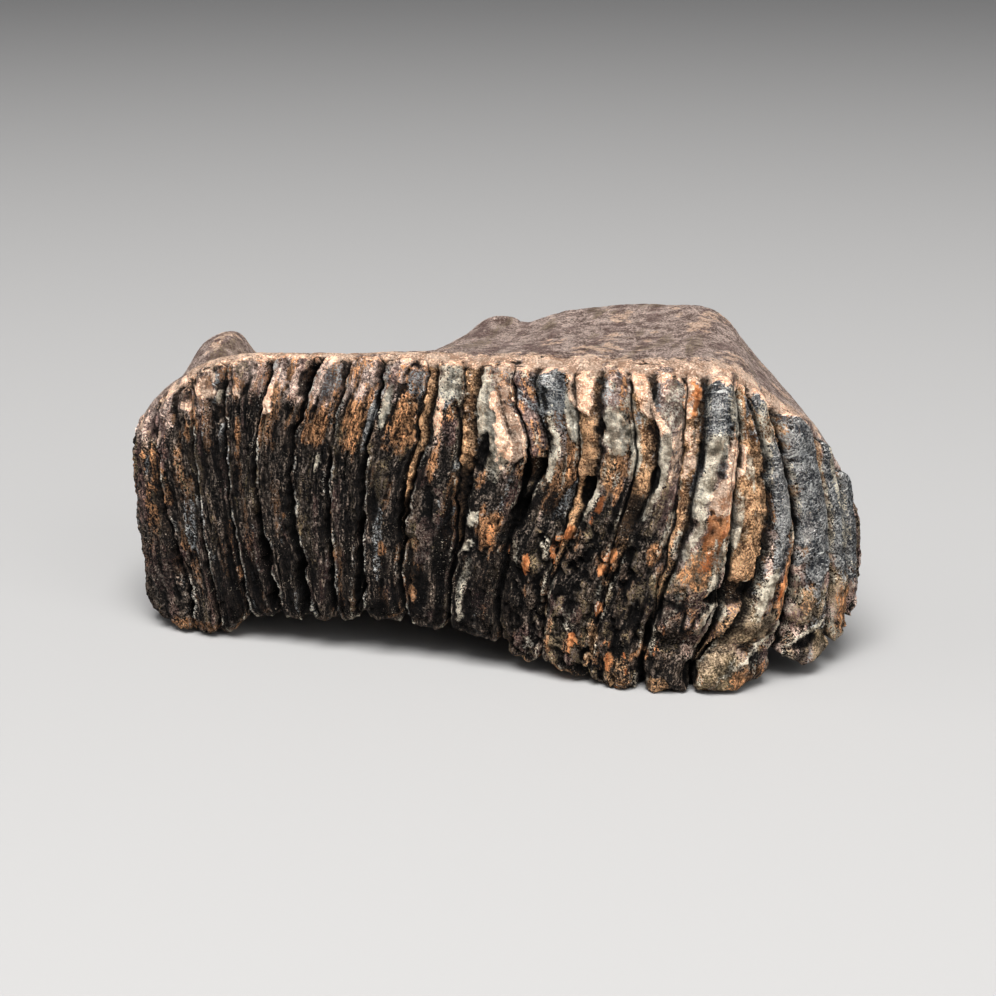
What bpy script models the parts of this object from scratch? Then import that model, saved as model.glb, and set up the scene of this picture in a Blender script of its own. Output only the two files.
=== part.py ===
"""A fossil woolly mammoth molar, modelled as the one piece that it is.

The tooth stands on the broken lower ends of its plates. X runs along it, from the worn front end
to the rounded back end, the near side faces -Y, and the chewing surface is on top. The origin is
under the middle of its box, on the surface that it stands on.

The form is a row of upright enamel plates, side by side. Places along the tooth are given by plate
number: a whole number is the groove between two plates, and a half is the middle of a plate.
Places across the tooth run from 0 at the near side to 1 at the far side.
"""

import math

import bmesh
import bpy
import numpy as np
from mathutils import Vector, noise

MM = 0.001

# The sphere that the tooth is shaped from: faces around it, and rings for each plate.
PLATES = 18
SEGMENTS = 54
RINGS_PER_PLATE = 5

# How square the cross-section is above and below, and how its two ends close in, by plate number.
UPPER_SQUARENESS = 9
LOWER_SQUARENESS = 18
END_SIZE = (
    (0, 0.55), (0.2, 0.88), (0.4, 0.97), (0.6, 1),
    (17.2, 1), (17.4, 0.98), (17.6, 0.93), (17.8, 0.8), (18, 0.45),
)
END_DOME = 1.5

# Where each groove crosses the near side at five heights, from the front end to the back end.
GROOVE_HEIGHTS = (6, 25, 44, 63, 82)
GROOVES = (
    (-110.5, -111.5, -111, -110, -103),
    (-88.5, -91.5, -96.5, -98, -95),
    (-79.5, -82.5, -84.5, -85.5, -85.5),
    (-70.5, -73, -75, -75.5, -75.5),
    (-62, -64, -66, -65.5, -61.5),
    (-53, -54, -56, -54, -49),
    (-44.5, -45, -45.5, -43.5, -39),
    (-36.5, -36.5, -35.5, -33, -28.5),
    (-24, -24.5, -23.5, -18.5, -15),
    (-12.5, -10.5, -7.5, -5, -4),
    (3, 3.5, 8, 14, 10),
    (15, 17, 23.5, 28.5, 27.5),
    (29, 32.5, 38.5, 43.5, 42),
    (43, 47, 52, 55, 56),
    (56.5, 66.5, 70, 69.5, 67),
    (76.5, 79.5, 80.5, 77, 73),
    (88, 88.5, 87, 84, 81),
    (92, 92, 90.5, 87.5, 86),
    (94, 94, 92.5, 90, 88),
)

# The outline seen from above, as (x, y) along the near side and along the far side.
NEAR_PLAN = (
    (-110, -21), (-105, -27), (-98, -31), (-88, -33.5), (-70, -35), (-40, -36.5), (0, -37),
    (30, -39.5), (50, -39.5), (64, -35.5), (75, -27), (84, -16), (92, -2), (97, 9),
)
FAR_PLAN = (
    (-110, 15), (-105, 22), (-96, 27), (-80, 30), (-45, 32), (-9, 35), (28, 38), (52, 37),
    (70, 33), (79, 26), (86, 18), (92, 10),
)
FAR_LEAN = 0.4
SIDE_BULGE = 1.6

# Where each plate number crosses the far side, along X.
FAR_X = (
    (0, -109), (1, -101), (2, -91), (4, -71), (6, -47), (9, -9), (12, 28), (14, 50.5), (16, 68),
    (17, 75), (18, 83),
)

# Heights of the crown's upper edge on the two sides, and how far it dips midway between them.
NEAR_TOP = (
    (0, 57), (1, 69.5), (2, 79), (3, 84.5), (4, 87.2), (6, 88.6), (9, 88.4), (12, 89.5), (13, 89.5),
    (14, 87), (15, 80), (16, 71), (17, 61), (18, 50),
)
FAR_TOP = (
    (0, 56), (1, 68), (2, 70), (3, 62), (5, 61), (6, 66), (7, 74), (8, 83), (9, 83.5), (10, 88),
    (12, 91), (13.5, 90), (14, 87.2), (15, 77.5), (16, 67), (17, 57), (18, 44),
)
TOP_DIP = ((0, 0), (3, 2), (6, 4), (9, 3), (12, 2), (14, 1), (18, 0))

# Heights of the lower edge on the two sides. Below zero, the plates are worn flat where they stand.
NEAR_BASE = (
    (0, 3.5), (0.6, 1), (1.2, 0), (2, 0.2), (2.9, 6.2), (4, 7), (6, 8.5), (7.6, 10.8), (8.6, 9.5),
    (9.9, 7.5), (10.4, 4), (11.5, 2.5), (12.1, -1.2), (13.3, -1.8), (14.3, -0.8), (14.7, 2),
    (15.15, 5.5), (15.5, 3), (16, 6), (17, 10.5), (18, 17),
)
FAR_BASE = (
    (0, 6), (1, -3), (2.5, -3), (5, 4), (8, 3), (10, -2), (11, -3), (13, -2.5), (15, 4), (17, 14),
    (18, 22),
)
BASE_HOLLOW = ((0, 1), (3, 5), (12, 7), (15, 5), (18, 1))

# Depths of the grooves between the plates on the sides, over the base and over the top.
SIDE_GROOVE = ((0, 1), (1, 2.5), (4, 3.2), (8, 3.4), (11, 3.6), (14, 3.6), (17, 2.6), (18, 0.5))
BASE_GROOVE = ((0, 1), (2, 2.5), (6, 2.5), (9, 4), (13, 6), (14, 8), (17, 5), (18, 0.5))
TOP_GROOVE = 0.5
GROOVE_HALF_WIDTH = 0.32
GROOVE_SHARPNESS = 1.3

# How far the middle of a plate stands out beyond its flanks, on the sides.
RIB_RISE = ((0, 0), (7, 0.2), (10, 0.7), (13, 1.2), (14.3, 1.3), (15.3, 0.4), (16, 0), (18, 0))
RIB_SQUARENESS = 2.5

# Single forms that stand out or sink in: plate number, place across, height, then how far the form
# reaches in each of the three, and how far out it stands. A higher firmness makes steeper flanks.
LUMPS = (
    ("nub on the front edge", 1.75, 0.6, 74, 0.85, 0.24, 20, 7),
    ("knob on the far edge", 8.2, 0.95, 82, 0.7, 0.1, 8, 2),
    ("proud tenth plate", 9.5, 0.0, 70, 0.45, 0.15, 16, 1.2),
    ("proud twelfth plate", 11.5, 0.0, 72, 0.45, 0.15, 16, 1.2),
    ("proud middle of the fourteenth plate", 13.5, 0.0, 44, 0.6, 0.15, 22, 2.2),
    ("hollow beside the tenth plate", 10.1, 0.0, 55, 0.35, 0.15, 10, -2.0),
    ("hollow beside the eleventh plate", 11.05, 0.0, 52, 0.3, 0.15, 7, -2.0),
    ("recess under the ledge", 14.1, 0.0, 14.5, 1.3, 0.25, 3.6, -3.6),
)
LUMP_FIRMNESS = 2

# What belongs to one face of the section starts this far out towards it, and an end of the tooth
# is plain where its section is smaller than this.
FACE_START = 0.75
PLAIN_END_SIZE = 0.95

ROUGHNESS_MM = 0.7
ROUGHNESS_SCALE = 11.0
ROUGHNESS_OCTAVES = 2

# The angle from the sphere's axis within which a point is the sphere's end.
POLE_ANGLE = 0.01


def curve(points, at):
    """The value at each place on a smooth curve through points given as (place, value)."""
    places, values = np.array(points, float).T
    slopes = np.gradient(values, places)
    at = np.clip(at, places[0], places[-1])
    step = np.clip(np.searchsorted(places, at, side="right") - 1, 0, len(places) - 2)
    width = places[step + 1] - places[step]
    u = (at - places[step]) / width
    ends = (2 * u**3 - 3 * u**2 + 1) * values[step] + (3 * u**2 - 2 * u**3) * values[step + 1]
    turns = (u**3 - 2 * u**2 + u) * slopes[step] + (u**3 - u**2) * slopes[step + 1]
    return ends + turns * width


def groove(plate):
    """How deep in a groove each plate number is, from 0 on a plate's flank and face to 1 in the slit."""
    away = np.abs(plate - np.round(plate)) / GROOVE_HALF_WIDTH
    return np.clip(1 - away, 0, 1) ** GROOVE_SHARPNESS


def rib(plate):
    """How far up a plate's swell each plate number is, from -0.5 in the groove to 0.5 midway."""
    off_middle = np.abs(plate - np.floor(plate) - 0.5) * 2
    return 0.5 - off_middle**RIB_SQUARENESS


def towards(share):
    """How much a point belongs to the face that it is this far out towards, 0 to 1."""
    return np.clip((share - FACE_START) / (1 - FACE_START), 0, 1)


def section(turn):
    """The point at each turn around a square of half-width 1 with rounded corners."""
    across, up = np.cos(turn), np.sin(turn)
    power = np.where(up > 0, UPPER_SQUARENESS, LOWER_SQUARENESS)
    reach = (np.abs(across) ** power + np.abs(up) ** power) ** (-1 / power)
    return across * reach, up * reach


def near_x(plate, height):
    """The place along X where a plate number crosses the near side at a height."""
    columns = [curve(tuple(enumerate(column)), plate) for column in zip(*GROOVES)]
    columns = np.array([columns[0], *columns, columns[-1]])
    spacing = GROOVE_HEIGHTS[1] - GROOVE_HEIGHTS[0]
    u = np.clip((height - GROOVE_HEIGHTS[0]) / spacing, 0, len(GROOVES[0]) - 1.001)
    step = u.astype(int)
    u = u - step
    item = np.arange(len(plate))
    before, start, end, after = (columns[step + k, item] for k in range(4))
    turn_in, turn_out = (end - before) / 2, (after - start) / 2
    return (
        (2 * u**3 - 3 * u**2 + 1) * start
        + (3 * u**2 - 2 * u**3) * end
        + (u**3 - 2 * u**2 + u) * turn_in
        + (u**3 - u**2) * turn_out
    )


def along(plate, height):
    """The places along X where a plate number crosses the near side and the far side."""
    near = near_x(plate, height)
    middle = near_x(plate, np.full_like(plate, GROOVE_HEIGHTS[2]))
    return near, curve(FAR_X, plate) + FAR_LEAN * (near - middle)


def lump(plate, across, height):
    """How far out the surface stands for the single forms."""
    out = np.zeros_like(plate)
    for _, at_plate, at_across, at_height, plates, width, rise, amount in LUMPS:
        away = ((plate - at_plate) / plates) ** 2
        away += ((across - at_across) / width) ** 2
        away += ((height - at_height) / rise) ** 2
        out += amount * np.exp(-(away**LUMP_FIRMNESS))
    return out


def surface(plate, turn):
    """The points of the tooth's surface, in millimetres, at plate numbers and turns around it."""
    size = np.interp(plate, *np.array(END_SIZE).T)
    side, up = section(turn)
    across = (side + 1) / 2
    cut = groove(plate) * (size > PLAIN_END_SIZE)
    crown = curve(NEAR_TOP, plate) * (1 - across) + curve(FAR_TOP, plate) * across
    crown -= 4 * across * (1 - across) * curve(TOP_DIP, plate)
    foot = curve(NEAR_BASE, plate) * (1 - across) + curve(FAR_BASE, plate) * across
    foot += (4 * across * (1 - across)) ** 2 * curve(BASE_HOLLOW, plate)
    middle = (crown + foot) / 2
    height = middle + (crown - foot) / 2 * up * size
    near, far = along(plate, height)
    x = near + (far - near) * across
    near, far = curve(NEAR_PLAN, near), curve(FAR_PLAN, far)
    depth = (near + far) / 2 + (far - near) / 2 * side * size
    outward = lump(plate, across, height)
    sideways, upward, downward = towards(np.abs(side)), towards(up), towards(-up)
    bulge = SIDE_BULGE * (1 - up**2) - curve(SIDE_GROOVE, plate) * cut
    bulge += curve(RIB_RISE, plate) * rib(plate)
    depth += np.sign(side) * sideways * (bulge + outward * (1 - upward))
    height += upward * (outward - TOP_GROOVE * cut)
    height += downward * curve(BASE_GROOVE, plate) * cut
    return np.stack((x, depth, height), axis=-1)


def roughen(points, normals):
    """The points moved in and out a little by smooth noise."""
    for point, normal in zip(points, normals):
        place = Vector(point) / ROUGHNESS_SCALE
        point += normal * ROUGHNESS_MM * noise.fractal(place, 1, 2, ROUGHNESS_OCTAVES)


def stood_up(points):
    """The points with the worn feet flat on z = 0, and their box centred over the origin."""
    points[:, 2] = np.maximum(points[:, 2], 0)
    low, high = points.min(axis=0), points.max(axis=0)
    centre = (low + high) / 2
    return points - (centre[0], centre[1], low[2])


def fossil_material():
    """Brown, stone-like fossil enamel, dentine and cement, as one dull finish."""
    material = bpy.data.materials.new("fossil_tooth")
    material.use_nodes = True
    shader = material.node_tree.nodes["Principled BSDF"]
    shader.inputs["Base Color"].default_value = (0.17, 0.11, 0.075, 1)
    shader.inputs["Roughness"].default_value = 0.7
    shader.inputs["Metallic"].default_value = 0
    return material


def make_tooth(collection):
    """The whole tooth, from a sphere whose rings become slices across the tooth."""
    rings = PLATES * RINGS_PER_PLATE + 1
    mesh = bpy.data.meshes.new("mammoth_tooth")
    shape = bmesh.new()
    bmesh.ops.create_uvsphere(shape, u_segments=SEGMENTS, v_segments=rings + 1, radius=1)
    sphere = np.array([vertex.co for vertex in shape.verts])
    polar = np.arccos(np.clip(sphere[:, 2], -1, 1))
    ring = np.clip(polar / math.pi * (rings + 1) - 1, 0, rings - 1)
    plate = ring / RINGS_PER_PLATE
    turn = np.arctan2(sphere[:, 1], sphere[:, 0])
    points = surface(plate, turn)
    for vertex, point in zip(shape.verts, points):
        vertex.co = point
    for pole in (polar < POLE_ANGLE, polar > math.pi - POLE_ANGLE):
        set_pole(shape, points, np.flatnonzero(pole)[0])
    shape.normal_update()
    bmesh.ops.recalc_face_normals(shape, faces=shape.faces)
    points = np.array([vertex.co for vertex in shape.verts])
    roughen(points, np.array([vertex.normal for vertex in shape.verts]))
    for vertex, point in zip(shape.verts, stood_up(points)):
        vertex.co = point * MM
    shape.to_mesh(mesh)
    shape.free()
    mesh.materials.append(fossil_material())
    mesh.shade_smooth()
    tooth = bpy.data.objects.new("mammoth_tooth", mesh)
    collection.objects.link(tooth)
    return tooth


def set_pole(shape, points, index):
    """Puts an end vertex at the middle of the ring around it, and a little beyond it."""
    shape.verts.ensure_lookup_table()
    pole = shape.verts[index]
    ring = np.array([edge.other_vert(pole).co for edge in pole.link_edges])
    centre = ring.mean(axis=0)
    centre[0] += math.copysign(END_DOME, centre[0])
    pole.co = centre


def main():
    for old in list(bpy.data.objects):
        bpy.data.objects.remove(old)
    collection = bpy.data.collections.new("fossil_woolly_mammoth_tooth")
    bpy.context.scene.collection.children.link(collection)
    make_tooth(collection)


main()
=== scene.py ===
"""The looks of a fossil woolly mammoth molar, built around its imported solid.

The tooth grew as a row of upright enamel plates with cement between them. It is made here as
eighteen slabs that meet in the slits, so that each plate has its own rim of fine relief. Places
along the tooth are given by plate number, where a whole number is the middle of a groove between
two plates, and places on a plate by millimetres of height. Lengths are in millimetres until a mesh
is written.
"""

import itertools
import logging
import math
from dataclasses import dataclass, field
from enum import Enum

import bpy
import numpy as np
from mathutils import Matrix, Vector


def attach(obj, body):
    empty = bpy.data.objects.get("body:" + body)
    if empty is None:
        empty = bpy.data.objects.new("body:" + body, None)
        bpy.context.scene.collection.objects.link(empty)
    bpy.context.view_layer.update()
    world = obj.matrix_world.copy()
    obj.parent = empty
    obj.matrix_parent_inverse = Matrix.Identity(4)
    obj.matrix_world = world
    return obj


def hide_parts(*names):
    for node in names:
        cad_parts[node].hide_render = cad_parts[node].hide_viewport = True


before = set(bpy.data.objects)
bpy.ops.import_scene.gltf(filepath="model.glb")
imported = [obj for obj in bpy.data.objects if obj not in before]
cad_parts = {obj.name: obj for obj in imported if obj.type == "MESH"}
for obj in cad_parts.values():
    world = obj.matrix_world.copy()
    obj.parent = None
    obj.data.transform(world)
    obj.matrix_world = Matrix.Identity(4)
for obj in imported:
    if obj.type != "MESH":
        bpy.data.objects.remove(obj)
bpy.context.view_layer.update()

Array = np.ndarray
Points = tuple[tuple[float, ...], ...]
Triple = tuple[float, float, float]
Bytes = tuple[int, int, int]
Colour = tuple[float, float, float, float]
Socket = bpy.types.NodeSocket
Inputs = dict[int | str, object]
Sockets = dict[object, Socket]

MM = 0.001
NODE = "mammoth_tooth"
BODY = "root"
NOISE_SEED = 7
# How long every plate is for the noise that follows the plates, whatever its real pitch.
PLATE_MM = 11
# Half the width of the soft edge between two faces of the section.
FACE_EDGE = 0.06
# The attributes that carry the masks, four in each, and the one for places among the plates. The last mask
# attribute also carries the painted shade of the pits, and how far each place stands out, which the
# material turns into painted shade and highlights.
MASK_NAMES = ("growth", "enamel", "stain")
GROWN_NAME = "grown_place"
log = logging.getLogger("mammoth_tooth")


class Finish(Enum):
    """What a place on the tooth shows. The value is its channel among the painted masks.

    The last channel is no finish, but how far the place stands out from around it. Level is a half. The
    material turns it into painted shade in the hollows and painted highlights on what stands out.
    """

    CRUST = 0
    RUST = 1
    DENTINE = 2
    CEMENT = 3
    BLUE_ENAMEL = 4
    PALE_ENAMEL = 5
    WORN_TOP = 6
    PEACH = 7
    PLUM = 8
    OLIVE = 9
    # Painted shade: the black in slits, cracks, holes and dark hollows.
    PIT_SHADE = 10
    PROUD = 11


def bend(u: Array, start: Array, end: Array, turn_in: Array, turn_out: Array) -> Array:
    """The value at a share u of the way along a smooth bend between two values with two slopes."""
    ends = (2 * u**3 - 3 * u**2 + 1) * start + (3 * u**2 - 2 * u**3) * end
    return ends + (u**3 - 2 * u**2 + u) * turn_in + (u**3 - u**2) * turn_out


def curve(points: Points, at: Array) -> Array:
    """Reads a smooth curve.

    Args:
        points: Pairs of a place and the value there, in rising order of place.
        at: The places to read.

    Returns:
        The value at each place, held level past both ends.
    """
    places, values = np.array(points, float).T
    slopes = np.gradient(values, places)
    at = np.clip(at, places[0], places[-1])
    step = np.clip(np.searchsorted(places, at, side="right") - 1, 0, len(places) - 2)
    width = places[step + 1] - places[step]
    u = (at - places[step]) / width
    return bend(u, values[step], values[step + 1], slopes[step] * width, slopes[step + 1] * width)


def ease(low: float, high: float, value: Array) -> Array:
    """Rises smoothly from 0 at low to 1 at high. With low above high, it falls."""
    u = np.clip((value - low) / (high - low), 0, 1)
    return u * u * (3 - 2 * u)


def hump(offset: Array, reach: Array | float) -> Array:
    """A soft hump of height 1 at offset 0, gone by about twice its reach."""
    return np.exp(-((offset / reach) ** 2))


def on_face(out: Array, across: Array) -> Array:
    """How much each place on the section is on the face that looks out that way."""
    return ease(-FACE_EDGE, FACE_EDGE, out - np.abs(across))


class Noise:
    """Smooth noise and cells in space, the same in each run."""

    strength = 1.6
    octave_shift = 17.3

    def __init__(self, seed: int) -> None:
        """Draws the lattice of directions and cell centres from a seed.

        Args:
            seed: The number that the draws start from.
        """
        draw = np.random.RandomState(seed)
        order = draw.permutation(256)
        self.order = np.concatenate((order, order))
        directions = draw.normal(size=(256, 3))
        self.directions = directions / np.linalg.norm(directions, axis=1, keepdims=True)
        self.centres = draw.uniform(0.12, 0.88, size=(256, 3))

    def pick(self, x: Array, y: Array, z: Array) -> Array:
        """The lattice's number, 0 to 255, at whole places."""
        return self.order[self.order[self.order[x & 255] + (y & 255)] + (z & 255)]

    def smooth(self, places: Array) -> Array:
        """Noise of about -1 to 1 that changes over a distance of 1.

        Args:
            places: Rows of three coordinates.

        Returns:
            One value for each row.
        """
        whole = np.floor(places).astype(int)
        part = places - whole
        fade = part**3 * (part * (part * 6 - 15) + 10)
        total = np.zeros(len(places))
        for corner in itertools.product((0, 1), repeat=3):
            number = self.pick(*(whole + corner).T)
            lean = np.einsum("ij,ij->i", self.directions[number], part - corner)
            weight = np.prod(np.where(corner, fade, 1 - fade), axis=1)
            total += lean * weight
        return total * self.strength

    def fractal(self, places: Array, octaves: int = 3) -> Array:
        """Smooth noise with finer noise on it, each octave half as wide and half as strong.

        Args:
            places: Rows of three coordinates.
            octaves: How many sizes of noise are added.

        Returns:
            One value for each row.
        """
        total = np.zeros(len(places))
        for octave in range(octaves):
            total += self.smooth(places * 2**octave + self.octave_shift * octave) / 2**octave
        return total

    def cells(self, places: Array) -> tuple[Array, Array, Array]:
        """Rounded cells, about 1 across, that fill space.

        Args:
            places: Rows of three coordinates.

        Returns:
            The distance to the nearest centre, how much further the next one is, and a number
            from 0 to 1 that belongs to the cell.
        """
        whole = np.floor(places).astype(int)
        first = np.full(len(places), 9.0)
        second = np.full(len(places), 9.0)
        kind = np.zeros(len(places))
        for step in itertools.product((-1, 0, 1), repeat=3):
            cell = whole + step
            number = self.pick(*cell.T)
            away = np.linalg.norm(cell + self.centres[number] - places, axis=1)
            nearer = away < first
            second = np.where(nearer, first, np.minimum(second, away))
            kind = np.where(nearer, number / 255, kind)
            first = np.where(nearer, away, first)
        return first, second - first, kind


@dataclass(frozen=True)
class Form:
    """The main form of the tooth, with the same sizes as its solid.

    Each row of the grooves is one groove: its place along X at each of the groove heights.
    A lump is given by its plate, its share of the way across and its height, then by its size
    along each of them, and then by how far it stands out.
    """

    plates: int = 18
    upper_squareness: float = 9
    lower_squareness: float = 18
    end_dome: float = 1.5
    far_lean: float = 0.4
    side_bulge: float = 1.6
    middle_of_box: Triple = (-8.88, -1.24, 0)
    groove_heights: tuple[float, ...] = (6, 25, 44, 63, 82)
    grooves: Points = (
        (-110.5, -111.5, -111, -110, -103),
        (-88.5, -91.5, -96.5, -98, -95),
        (-79.5, -82.5, -84.5, -85.5, -85.5),
        (-70.5, -73, -75, -75.5, -75.5),
        (-62, -64, -66, -65.5, -61.5),
        (-53, -54, -56, -54, -49),
        (-44.5, -45, -45.5, -43.5, -39),
        (-36.5, -36.5, -35.5, -33, -28.5),
        (-24, -24.5, -23.5, -18.5, -15),
        (-12.5, -10.5, -7.5, -5, -4),
        (3, 3.5, 8, 14, 10),
        (15, 17, 23.5, 28.5, 27.5),
        (29, 32.5, 38.5, 43.5, 42),
        (43, 47, 52, 55, 56),
        (56.5, 66.5, 70, 69.5, 67),
        (76.5, 79.5, 80.5, 77, 73),
        (88, 88.5, 87, 84, 81),
        (92, 92, 90.5, 87.5, 86),
        (94, 94, 92.5, 90, 88),
    )
    near_plan: Points = (
        (-110, -21), (-105, -27), (-98, -31), (-88, -33.5), (-70, -35), (-40, -36.5), (0, -37),
        (30, -39.5), (50, -39.5), (64, -35.5), (75, -27), (84, -16), (92, -2), (97, 9),
    )
    far_plan: Points = (
        (-110, 15), (-105, 22), (-96, 27), (-80, 30), (-45, 32), (-9, 35), (28, 38), (52, 37),
        (70, 33), (79, 26), (86, 18), (92, 10),
    )
    far_x: Points = (
        (0, -109), (1, -101), (2, -91), (4, -71), (6, -47), (9, -9), (12, 28), (14, 50.5),
        (16, 68), (17, 75), (18, 83),
    )
    near_top: Points = (
        (0, 57), (1, 69.5), (2, 79), (3, 84.5), (4, 87.2), (6, 88.6), (9, 88.4), (12, 89.5),
        (13, 89.5), (14, 87), (15, 80), (16, 71), (17, 61), (18, 50),
    )
    far_top: Points = (
        (0, 56), (1, 68), (2, 70), (3, 62), (5, 61), (6, 66), (7, 74), (8, 83), (9, 83.5),
        (10, 88), (12, 91), (13.5, 90), (14, 87.2), (15, 77.5), (16, 67), (17, 57), (18, 44),
    )
    top_dip: Points = ((0, 0), (3, 2), (6, 4), (9, 3), (12, 2), (14, 1), (18, 0))
    near_base: Points = (
        (0, 3.5), (0.6, 1), (1.2, 0), (2, 0.2), (2.9, 6.2), (4, 7), (6, 8.5), (7.6, 10.8),
        (8.6, 9.5), (9.9, 7.5), (10.4, 4), (11.5, 2.5), (12.1, -1.2), (13.3, -1.8), (14.3, -0.8),
        (14.7, 2), (15.15, 5.5), (15.5, 3), (16, 6), (17, 10.5), (18, 17),
    )
    far_base: Points = (
        (0, 6), (1, -3), (2.5, -3), (5, 4), (8, 3), (10, -2), (11, -3), (13, -2.5), (15, 4),
        (17, 14), (18, 22),
    )
    base_hollow: Points = ((0, 1), (3, 5), (12, 7), (15, 5), (18, 1))
    lumps: Points = (
        (1.75, 0.6, 74, 0.85, 0.24, 20, 7),
        (8.2, 0.95, 82, 0.7, 0.1, 8, 2),
        (9.5, 0.0, 70, 0.45, 0.15, 16, 1.2),
        (11.5, 0.0, 72, 0.45, 0.15, 16, 1.2),
        (13.5, 0.0, 44, 0.6, 0.15, 22, 2.2),
        (10.1, 0.0, 55, 0.35, 0.15, 10, -2.0),
        (11.05, 0.0, 52, 0.3, 0.15, 7, -2.0),
        (14.1, 0.0, 14.5, 1.3, 0.25, 3.6, -3.6),
    )

    def near_x(self, plate: Array, height: Array) -> Array:
        """The place along X where a plate number crosses the near side at a height.

        Args:
            plate: The plate number of each point.
            height: Its height.

        Returns:
            X for each point.
        """
        columns = [curve(tuple(enumerate(column)), plate) for column in zip(*self.grooves)]
        columns = np.array([columns[0], *columns, columns[-1]])
        spacing = self.groove_heights[1] - self.groove_heights[0]
        last = len(self.groove_heights) - 1.001
        u = np.clip((height - self.groove_heights[0]) / spacing, 0, last)
        step = u.astype(int)
        item = np.arange(len(plate))
        before, start, end, after = (columns[step + k, item] for k in range(4))
        return bend(u - step, start, end, (end - before) / 2, (after - start) / 2)

    def section(self, turn: Array) -> tuple[Array, Array]:
        """The point at each turn around a square of half-width 1 with rounded corners.

        Args:
            turn: The angle of each point around the section.

        Returns:
            Its place from side to side and its place up, each from -1 to 1.
        """
        across, up = np.cos(turn), np.sin(turn)
        power = np.where(up > 0, self.upper_squareness, self.lower_squareness)
        reach = (np.abs(across) ** power + np.abs(up) ** power) ** (-1 / power)
        return across * reach, up * reach

    def lump(self, plate: Array, across: Array, height: Array) -> Array:
        """How far out the surface stands for the single forms.

        Args:
            plate: The plate number of each point.
            across: Its share of the way across.
            height: Its height.

        Returns:
            Millimetres outward for each point.
        """
        out = np.zeros_like(plate)
        for at_plate, at_across, at_height, plates, width, rise, amount in self.lumps:
            away = ((plate - at_plate) / plates) ** 2
            away += ((across - at_across) / width) ** 2
            away += ((height - at_height) / rise) ** 2
            out += amount * np.exp(-(away**2))
        return out

    def surface(self, plate: Array, turn: Array, size: Array, face_size: float) -> Array:
        """The smooth surface, before any slit or relief.

        Args:
            plate: The plate number of each point.
            turn: Its angle around the section: 0 far side, a quarter turn the top.
            size: The section's size there, 1 along the tooth and less over its ends.
            face_size: The size at which an end's flat face begins.

        Returns:
            Rows of X, Y and Z in millimetres, in the frame of the solid.
        """
        side, up = self.section(turn)
        face = np.clip(size / face_size, 0, 1)
        across = 0.5 + side / 2 * face
        crown = curve(self.near_top, plate) * (1 - across) + curve(self.far_top, plate) * across
        crown -= 4 * across * (1 - across) * curve(self.top_dip, plate)
        foot = curve(self.near_base, plate) * (1 - across) + curve(self.far_base, plate) * across
        foot += (4 * across * (1 - across)) ** 2 * curve(self.base_hollow, plate)
        height = (crown + foot) / 2 + (crown - foot) / 2 * up * size
        near = self.near_x(plate, height)
        middle = self.near_x(plate, np.full_like(plate, self.groove_heights[2]))
        far = curve(self.far_x, plate) + self.far_lean * (near - middle)
        x = near + (far - near) * across
        x += np.sign(x) * self.end_dome * (1 - face**2)
        near, far = curve(self.near_plan, near), curve(self.far_plan, far)
        depth = (near + far) / 2 + (far - near) / 2 * side * size
        outward = self.lump(plate, across, height)
        sideways = np.clip(np.abs(side) * 4 - 3, 0, 1)
        upward = np.clip(up * 4 - 3, 0, 1)
        depth += np.sign(side) * sideways * face * (self.side_bulge * (1 - up**2) + outward * (1 - upward))
        height += upward * outward
        return np.stack((x, depth, height), axis=-1) - self.middle_of_box


@dataclass(frozen=True)
class Gap:
    """What lies between two plates on the near side, at the form's five groove heights.

    A slit runs along each edge of the cement, and where there is no cement the two are one.
    Rise is how far the cement stands out, and cement_shown how much of its colour it keeps.
    """

    depth: tuple[float, ...]
    half_width: tuple[float, ...]
    cement: tuple[float, ...] = (0, 0, 0, 0, 0)
    rise: float = 0
    cement_shown: float = 1


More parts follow.
